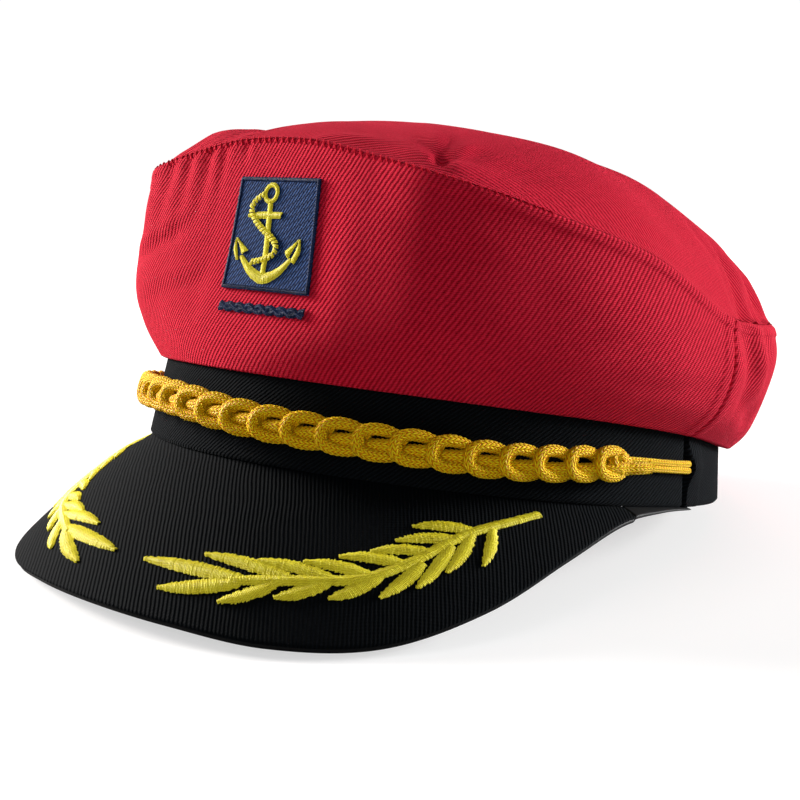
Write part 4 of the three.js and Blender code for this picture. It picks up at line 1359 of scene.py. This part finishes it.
def laurel_stitches(side):
    """Sprig on one side of the peak: its leaves, and the stem over their feet."""
    def bend(x, y, rise):
        angle = x / ARC_PER_DEGREE
        turned = LAUREL_TURN + side * angle
        return peak_point(turned, y / peak_length(angle), -LAUREL_LIFT - rise)

    def flat(angle, root):
        return np.array([angle * ARC_PER_DEGREE, root * PEAK_REACH])

    stitches = []
    for i, (at, root, to_at, to_root, bow, wide) in enumerate(zip(*LAUREL_LEAVES.values())):
        tip, joint = flat(at, root), flat(to_at, to_root)
        run = joint - tip
        across = np.array([-run[1], run[0]]) / np.hypot(*run)
        line = [tip + run * share + across * bow * 4 * share * (1 - share) for share in (0, 0.33, 0.67, 1)]
        widths = np.array(LEAF_WIDTHS) * wide
        stitches += satin(line, widths, bend, 100 + i + (40 if side < 0 else 0), slant=0.25, ragged=0.22)
    stem = [flat(at, root) for at, root in zip(LAUREL_STEM["at"], LAUREL_STEM["root"])]
    lifted = lambda x, y, rise: bend(x, y, rise + LAUREL_LIFT)
    stitches += satin(stem, LAUREL_STEM["thick"], lifted, 90, slant=0.45, arch=0.6)
    return stitches


def build_threads(name, stitches, tree, material, radius=THREAD_RADIUS):
    """Threads of one piece of embroidery or stitching."""
    carrier = line_carrier(stitches)
    return grow(name, carrier, tree, Radius=radius * MM, Sides=THREAD_SIDES, Material=material)


# Stitches that close the top seam, in millimetres and degrees from the front
SEAM_STITCH = {"pitch": 2.2, "from": -62, "to": 52, "below": 1.3, "above": 0.7, "lean": 0.8, "radius": 0.25}


def seam_stitches():
    """Slanting stitches across the top seam of the front."""
    dice = np.random.default_rng(71)
    fine = np.linspace(SEAM_STITCH["from"], SEAM_STITCH["to"], 900)
    walked = run_length(oval(fine, *crown_line(fine, 1.0)), 0)
    stitches = []
    for spot in np.arange(0, walked[-1], SEAM_STITCH["pitch"]):
        angle = np.interp(spot + dice.uniform(-0.2, 0.2), walked, fine)
        lean = SEAM_STITCH["lean"] / MM_PER_DEGREE * dice.uniform(0.7, 1.3)
        low = 1 - SEAM_STITCH["below"] / (CROWN_HEIGHT * 0.9)
        wall = [(angle - lean * k, low + (1.0 - low) * k, 0.2 * k) for k in (0, 0.35, 0.75)]
        rows = [oval(a, crown_line(a, t)[0] + lift, crown_line(a, t)[1]) for a, t, lift in wall]
        end = top_point(angle - lean * 1.5, 1 - SEAM_STITCH["above"] / HALF_LENGTH)
        middle = top_point(angle - lean * 1.2, 1 - 0.3 / HALF_LENGTH) + [0, 0, 0.2]
        stitches.append(np.stack(rows + [middle, end + [0, 0, -0.1]]))
    return stitches


# Materials
def colour(code):
    """sRGB hex code to linear colour."""
    parts = [int(code[i : i + 2], 16) / 255 for i in (1, 3, 5)]
    linear = [c / 12.92 if c <= 0.04045 else ((c + 0.055) / 1.055) ** 2.4 for c in parts]
    return (*linear, 1.0)


MATH = "ShaderNodeMath"
TIMES = {"operation": "MULTIPLY"}
TIMES_PLUS = {"operation": "MULTIPLY_ADD"}
PART = {"operation": "FRACT"}
SINE = {"operation": "SINE"}
POWER = {"operation": "POWER"}
NOISE = "ShaderNodeTexNoise"
RAMP = "ShaderNodeValToRGB"
MIX = "ShaderNodeMix"
COLOUR_MIX = {"data_type": "RGBA"}


def new_material(name):
    """Material, the way to add its nodes, and the place on the cloth in millimetres."""
    made = bpy.data.materials.new(name)
    made.use_nodes = True
    made.node_tree.nodes.clear()
    node = partial(add_node, made.node_tree)
    place = node("ShaderNodeAttribute", {"attribute_name": "weave"}).node.outputs["Vector"]
    parts = node("ShaderNodeSeparateXYZ", None, [place]).node.outputs
    return made, node, place, parts[0], parts[1]


def finish_surface(node, base, height, depth, values, strength=1.0):
    """Ends a material: its shader, with relief so many millimetres deep."""
    bump = node("ShaderNodeBump", None, {"Height": height, "Distance": depth * MM, "Strength": strength})
    surface = node("ShaderNodeBsdfPrincipled", None, {"Normal": bump, "Base Color": base, **values})
    node("ShaderNodeOutputMaterial", None, {"Surface": surface})


def ripple(node, place, length):
    """0 to 1 and back once in every length."""
    turn = node(MATH, TIMES, [place, 2 * math.pi / length])
    return node(MATH, TIMES_PLUS, [node(MATH, SINE, [turn]), 0.5, 0.5])


def slanted(node, x, y, lean):
    """Distances across and along lines that rise at an angle."""
    turn = math.radians(lean)
    across = node(MATH, TIMES_PLUS, [x, -math.sin(turn), node(MATH, TIMES, [y, math.cos(turn)])])
    along = node(MATH, TIMES_PLUS, [x, math.cos(turn), node(MATH, TIMES, [y, math.sin(turn)])])
    return across, along


def twill(name, rib, lean, depth, shades, sheen, values):
    """Cotton twill: slanting ribs made of short floats of yarn, with soft fading over them; the ribs and
    floats also paint shade into the grooves and highlight onto the rib tops.
    """
    made, node, place, x, y = new_material(name)
    drift = node(NOISE, None, {"Vector": place, "Scale": 0.1, "Detail": 2.0})
    slubs = node(NOISE, None, {"Vector": place, "Scale": 0.9, "Detail": 3.0, "Roughness": 0.6})
    fuzz = node(NOISE, None, {"Vector": place, "Scale": 4.5, "Detail": 3.0, "Roughness": 0.7})
    across, along = slanted(node, x, y, lean)
    across = node(MATH, TIMES_PLUS, [drift, 0.8, across])
    across = node(MATH, TIMES_PLUS, [slubs, rib * 0.4, across])
    ribs = node(MATH, POWER, [ripple(node, across, rib), 0.75])
    floats = ripple(node, node(MATH, TIMES_PLUS, [across, 0.8, along]), rib * 0.55)
    height = node(MATH, TIMES_PLUS, [floats, 0.4, ribs])
    height = node(MATH, TIMES_PLUS, [fuzz, 0.45, height])
    # Colour: the ribs and floats paint shade in the grooves and highlight on the rib tops; slubs and fuzz
    # give the yarn's own uneven tone.
    shade = -0.1
    for part, share in ((ribs, 0.46), (floats, 0.2), (slubs, 0.3), (fuzz, 0.34)):
        shade = node(MATH, TIMES_PLUS, [part, share, shade])
    base = node(RAMP, {"stops": tuple(zip((0.15, 0.5, 0.9), shades))}, [shade])
    broad = node(NOISE, None, {"Vector": place, "Scale": 0.03, "Detail": 4.0, "Roughness": 0.6})
    worn = node(RAMP, {"stops": ((0.45, "#000000"), (0.75, "#6c6c6c"))}, [broad])
    base = node(MIX, COLOUR_MIX, {0: worn, 6: base, 7: shades[2]})
    finish_surface(node, base, height, depth, {"Sheen Tint": sheen, "Sheen Roughness": 0.4, **values})
    return made


# Red cotton twill: bold slanting ribs 1.2 mm apart, matt, with painted highlight where the yarn rises and
# painted shade in the grooves.
RED_TWILL = twill(
    "red cotton twill", 1.18, 62, 0.3, ("#5c0210", "#be0a24", "#e02444"), "#ff5a78",
    {"Roughness": 0.9, "Specular IOR Level": 0.08, "Sheen Weight": 0.16},
)

# Black cotton twill of the band: finer ribs with painted highlight on their tops and painted shade in their
# grooves, faintly bluish where light grazes them.
BLACK_TWILL = twill(
    "black cotton twill", 1.0, 40, 0.28, ("#010202", "#07090b", "#13181d"), "#54606c",
    {"Roughness": 0.95, "Specular IOR Level": 0.05, "Sheen Weight": 0.01},
)


PEAK_RIB = 1.0
PEAK_RIB_LEAN = 136


def ribbed_cotton():
    """Black ribbed cotton of the peak: fine raised ribs 1 mm apart, cut so that they run slantwise."""
    made, node, place, x, y = new_material("black ribbed cotton")
    drift = node(NOISE, None, {"Vector": place, "Scale": 0.08, "Detail": 2.0})
    fuzz = node(NOISE, None, {"Vector": place, "Scale": 4.0, "Detail": 3.0, "Roughness": 0.7})
    across, along = slanted(node, x, y, PEAK_RIB_LEAN)
    ribs = ripple(node, node(MATH, TIMES_PLUS, [drift, 1.1, across]), PEAK_RIB)
    height = node(MATH, TIMES_PLUS, [ripple(node, along, PEAK_RIB * 0.6), 0.2, ribs])
    height = node(MATH, TIMES_PLUS, [fuzz, 0.4, height])
    # Colour: the ribs paint their tops lighter and their grooves darker, as painted highlight and shade,
    # over the fuzz's random tone.
    shade = node(MATH, TIMES_PLUS, [ribs, 0.3, node(MATH, TIMES, [fuzz, 0.7])])
    base = node(RAMP, {"stops": ((0.15, "#020304"), (0.55, "#05080b"), (0.95, "#0c1218"))}, [shade])
    lint = node(NOISE, None, {"Vector": place, "Scale": 2.4, "Detail": 0.0})
    lint = node(RAMP, {"stops": ((0.8, "#000000"), (0.84, "#404040"))}, [lint])
    base = node(MIX, COLOUR_MIX, {0: lint, 6: base, 7: "#6c7074"})
    finish_surface(node, base, height, 0.17, {"Roughness": 0.85, "Specular IOR Level": 0.04})
    return made


def board_plastic():
    """Black board of the peak: moulded plastic with a soft gleam and fine grain."""
    made, node, place, *_ = new_material("black moulded plastic")
    grain = node(NOISE, None, {"Vector": place, "Scale": 2.2, "Detail": 4.0, "Roughness": 0.6})
    marks = node(NOISE, None, {"Vector": place, "Scale": 0.12, "Detail": 5.0, "Roughness": 0.65})
    base = node(RAMP, {"stops": ((0.3, "#030405"), (0.7, "#090b0d"))}, [marks])
    rough = node(MATH, TIMES_PLUS, [marks, 0.2, 0.5])
    finish_surface(node, base, grain, 0.05, {"Roughness": rough, "Specular IOR Level": 0.15}, 0.6)
    return made


def knitted_cord():
    """Golden knitted cord: V-shaped stitches with a painted highlight of bright yellow on their tops, over
    hollows painted a darker orange as shade.
    """
    made, node, place, x, y = new_material("knitted rayon cord")
    leg = node(MATH, PART, [node(MATH, TIMES, [y, 2.0])])
    half = node(MATH, {"operation": "GREATER_THAN"}, [node(MATH, PART, [y]), 0.5])
    back = node(MATH, {"operation": "SUBTRACT"}, [1.0, leg])
    slant = node(MIX, {"data_type": "FLOAT"}, {0: half, 2: leg, 3: back})
    uneven = node(NOISE, None, {"Vector": place, "Scale": 1.4, "Detail": 2.0})
    stitch = node(MATH, TIMES_PLUS, [slant, 0.8, x])
    stitch = node(MATH, PART, [node(MATH, TIMES_PLUS, [uneven, 0.35, stitch])])
    arch, width = (node(MATH, SINE, [node(MATH, TIMES, [way, math.pi])]) for way in (stitch, leg))
    arch = node(MATH, POWER, [arch, 0.7])
    body = node(MATH, TIMES, [arch, node(MATH, TIMES_PLUS, [width, 0.6, 0.4])])
    fibre = node(NOISE, None, {"Vector": place, "Scale": 9.0, "Detail": 2.0})
    height = node(MATH, TIMES_PLUS, [fibre, 0.25, body])
    # Colour follows the stitches' relief: darker orange in the hollows as painted shade and bright yellow
    # on the stitch tops as painted highlight, with a random unevenness.
    shade = node(MATH, TIMES_PLUS, [uneven, 0.4, node(MATH, TIMES_PLUS, [body, 0.8, -0.15])])
    stops = ((0.06, "#b04000"), (0.22, "#f29000"), (0.44, "#ffc000"), (0.78, "#ffe51c"))
    base = node(RAMP, {"stops": stops}, [shade])
    finish_surface(node, base, height, 0.45, {
        "Roughness": 0.48,
        "Specular IOR Level": 0.12,
        "Sheen Weight": 0.02,
        "Sheen Roughness": 0.35,
        "Sheen Tint": "#ffd860",
    })
    return made


def rayon_thread(name, shades, sheen, gleam=0.3):
    """Embroidery thread: two twisted plies with a silky gleam along them."""
    made, node, _, x, _ = new_material(name)
    spot = node("ShaderNodeTexCoord").node.outputs["Object"]
    twist = ripple(node, x, 0.6 * MM)
    fibre = node(NOISE, None, {"Vector": spot, "Scale": 2600.0, "Detail": 2.0})
    tone = node(NOISE, None, {"Vector": spot, "Scale": 420.0, "Detail": 2.0})
    height = node(MATH, TIMES_PLUS, [fibre, 0.5, twist])
    # Colour: mostly the thread's random tone; the twist also darkens it where the plies dip, as painted
    # shade.
    shade = node(MATH, TIMES_PLUS, [tone, 0.6, node(MATH, TIMES, [twist, 0.3])])
    base = node(RAMP, {"stops": tuple(zip((0.15, 0.45, 0.9), shades))}, [shade])
    finish_surface(node, base, height, 0.05, {
        "Roughness": 0.45,
        "Specular IOR Level": gleam,
        "Sheen Weight": 0.04,
        "Sheen Roughness": 0.3,
        "Sheen Tint": sheen,
    }, 0.7)
    return made


# Rows of the badge's fill: how far apart they are, how long their stitches, and their slant
FILL_ROW = 0.8
FILL_STITCH = 3.2
FILL_LEAN = 58


def patch_fill():
    """Navy fill of the badge: slanting rows of flat thread, packed close."""
    made, node, place, x, y = new_material("navy thread fill")
    fuzz = node(NOISE, None, {"Vector": place, "Scale": 2.6, "Detail": 3.0, "Roughness": 0.6})
    across, along = slanted(node, x, y, FILL_LEAN)
    across = node(MATH, TIMES_PLUS, [fuzz, 0.3, across])
    row = node(MATH, {"operation": "FLOOR"}, [node(MATH, TIMES, [across, 1 / FILL_ROW])])
    along = node(MATH, TIMES_PLUS, [row, 1.27, along])
    dips = node(MATH, POWER, [ripple(node, along, FILL_STITCH), 0.3])
    height = node(MATH, TIMES, [ripple(node, across, FILL_ROW), dips])
    # Colour follows the rows' relief: painted shade in the gaps between rows and between stitches, painted
    # highlight on the row tops, with a random fuzz.
    shade = node(MATH, TIMES_PLUS, [height, 0.5, node(MATH, TIMES, [fuzz, 0.5])])
    base = node(RAMP, {"stops": ((0.15, "#060d20"), (0.5, "#1a3462"), (0.9, "#3c64a4"))}, [shade])
    finish_surface(node, base, height, 0.3, {"Roughness": 0.75, "Specular IOR Level": 0.06})
    return made


RIBBED_COTTON = ribbed_cotton()
BOARD_PLASTIC = board_plastic()
GOLD_CORD = knitted_cord()
NAVY_THREAD = rayon_thread("navy rayon thread", ("#070f22", "#112244", "#213c6a"), "#4c68a4", 0.07)
YELLOW_THREAD = rayon_thread("yellow rayon thread", ("#c8b40e", "#eee226", "#f8f050"), "#fbf6a8")
NAVY_FILL = patch_fill()


# Camera, light and floor
def place_camera():
    """The photograph's viewpoint, in the shared frame."""
    lens = bpy.data.cameras.new("camera")
    lens.lens = 57.6
    lens.sensor_width = 36
    lens.clip_start, lens.clip_end = 0.01, 20
    made = add_object("camera", lens)
    right = Vector((0.77162458, 0.6357295, 0.02105944))
    up = Vector((-0.12420159, 0.118115, 0.98520191))
    back = Vector((0.62383449, -0.76282163, 0.17009905))
    turned = Matrix((right, up, back)).transposed().to_4x4()
    turned.translation = Vector((251.67883, -320.68331, 109.91843)) * MM
    made.matrix_world = turned
    bpy.context.scene.camera = made


# Even white backdrop: how strongly it lights the hat, and how bright it is seen
SKY_LIGHT = 0.14
SKY_SEEN = 1.05

# The floor's glow near the hat and far from it, and how far that change reaches in metres
FLOOR_GLOW = ((0.1, "#c8c8c8"), (0.5, "#ffffff"))
FLOOR_REACH = 3.0
FLOOR_HALF = 6.0

# Soft lamps: place and size in metres, power in watts; all face one point of the hat
LIT_POINT = (0, 0, 0.06)
LIGHTS = (
    ("key light", (-1.85, -0.5, 0.68), (0.7, 0.7), 100, "#fffaf6"),
    ("rim light", (1.15, 1.5, 0.5), (0.7, 0.7), 68, "#ffffff"),
    ("top light", (0.0, 0.25, 1.8), (1.0, 1.0), 5, "#ffffff"),
    ("front light", (0.9, -1.6, 0.9), (1.2, 0.9), 4.2, "#ffffff"),
)


def add_light(name, place, target, size, power, tint):
    """Soft lamp that faces a target."""
    light = bpy.data.lights.new(name, "AREA")
    light.shape = "RECTANGLE"
    light.size, light.size_y = size
    light.energy = power
    light.color = colour(tint)[:3]
    made = add_object(name, light)
    made.location = place
    made.rotation_euler = (Vector(target) - Vector(place)).to_track_quat("-Z", "Y").to_euler()


def build_stage():
    """Pale floor, white backdrop and soft lamps."""
    floor_material, node, *_ = new_material("pale floor")
    spot = node("ShaderNodeTexCoord").node.outputs["Object"]
    speckle = node(NOISE, None, {"Vector": spot, "Scale": 3.0, "Detail": 3.0})
    base = node(RAMP, {"stops": ((0.3, "#b4b4b3"), (0.7, "#bababa"))}, [speckle])
    away = node("ShaderNodeVectorMath", {"operation": "LENGTH"}, [spot])
    away = node(MATH, TIMES, [away, 1 / FLOOR_REACH])
    finish_surface(node, base, speckle, 0.02, {
        "Roughness": 0.9,
        "Specular IOR Level": 0.1,
        "Emission Color": node(RAMP, {"stops": FLOOR_GLOW}, [away]),
        "Emission Strength": node("ShaderNodeLightPath").node.outputs["Is Camera Ray"],
    }, 0.1)
    half = FLOOR_HALF
    corners = [(-half, -half, 0), (half, -half, 0), (half, half, 0), (-half, half, 0)]
    floor = make_mesh("floor", corners, [[0, 1, 2, 3]])
    floor.data.materials.append(floor_material)
    world = bpy.data.worlds.new("studio")
    bpy.context.scene.world = world
    world.use_nodes = True
    tree = world.node_tree
    seen = add_node(tree, "ShaderNodeLightPath").node.outputs["Is Camera Ray"]
    bright = add_node(tree, MATH, TIMES_PLUS, [seen, SKY_SEEN - SKY_LIGHT, SKY_LIGHT])
    tree.links.new(bright, tree.nodes["Background"].inputs["Strength"])
    tree.nodes["Background"].inputs["Color"].default_value = colour("#fdfdfe")
    bpy.context.scene.view_settings.view_transform = "Standard"
    for name, place, size, power, tint in LIGHTS:
        add_light(name, place, LIT_POINT, size, power, tint)


def settle(piece, node=None, material=None):
    """Sets a piece on the hat and in the place of a solid part if it has one."""
    if material is not None:
        piece.data.materials.clear()
        piece.data.materials.append(material)
    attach(piece, "root")
    if node is not None:
        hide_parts(node)


# Angles near the cover's ends, past its end, over which the board comes up to the peak's face
COVER_FADES = (COVER_END_ANGLE - 0.2, COVER_END_ANGLE + 0.4)


def build_hat():
    """All the pieces of the hat, each attached to the hat, and in the place of its solid part where it has
    one.
    """
    threads = thread_tree()
    seam = SIDE_SEAM_ANGLE
    front = build_wall("crown_front_cloth", -seam, seam, 470)
    settle(front, "crown_front", RED_TWILL)
    back = build_wall("crown_back_cloth", seam, 360 - seam, 330)
    settle(back, "crown_back", RED_TWILL)
    settle(build_top("crown_top_cloth"), "crown_top", RED_TWILL)
    stitching = build_threads("seam_stitching", seam_stitches(), threads, RED_TWILL, SEAM_STITCH["radius"])
    settle(stitching)

    tuck_gap = math.degrees(SEAM_GAP / HALF_WIDTH)
    front_end = TUCK_ANGLE - tuck_gap
    front = build_band("band_front_cloth", -front_end, front_end, 260, False)
    settle(front, "band_front", BLACK_TWILL)
    back = build_band("band_back_cloth", TUCK_ANGLE, 360 - TUCK_ANGLE, 300, True)
    settle(back, "band_back", BLACK_TWILL)

    face = lambda angle, thin: 0 * thin
    cover = build_peak_layer("peak_cover_cloth", COVER_END_ANGLE, face, COVER_CLOTH, 60, 0.6)
    settle(cover, "peak_cover", RIBBED_COTTON)
    past_cover = lambda angle: smooth(np.abs(angle), *COVER_FADES)
    beneath = lambda angle, thin: (COVER_CLOTH * thin + SEAM_GAP) * (1 - past_cover(angle))
    board = build_peak_layer("peak_board_edge", BOARD_TIP_ANGLE, beneath, BOARD_THICKNESS, 40, 1.0)
    settle(board, "peak_board", BOARD_PLASTIC)

    settle(build_plait("golden_plait", GOLD_CORD), "cord_braid")
    settle(build_tail("left_cord_end", 1, GOLD_CORD), "cord_tail_left")
    settle(build_tail("right_cord_end", -1, GOLD_CORD), "cord_tail_right")

    settle(build_patch("patch_cloth"), "badge_patch", NAVY_FILL)
    border = build_threads("patch_border", patch_border_stitches(), threads, NAVY_THREAD)
    settle(border)
    anchor = build_threads("anchor_threads", anchor_stitches(), threads, YELLOW_THREAD)
    settle(anchor, "badge_anchor")
    bar = build_threads("twisted_bar", wave_stitches(), threads, NAVY_THREAD)
    settle(bar, "badge_wave")
    for side, word in ((1, "left"), (-1, "right")):
        sprig = build_threads(word + "_laurel", laurel_stitches(side), threads, YELLOW_THREAD)
        settle(sprig, "laurel_" + word)


place_camera()
build_stage()
build_hat()
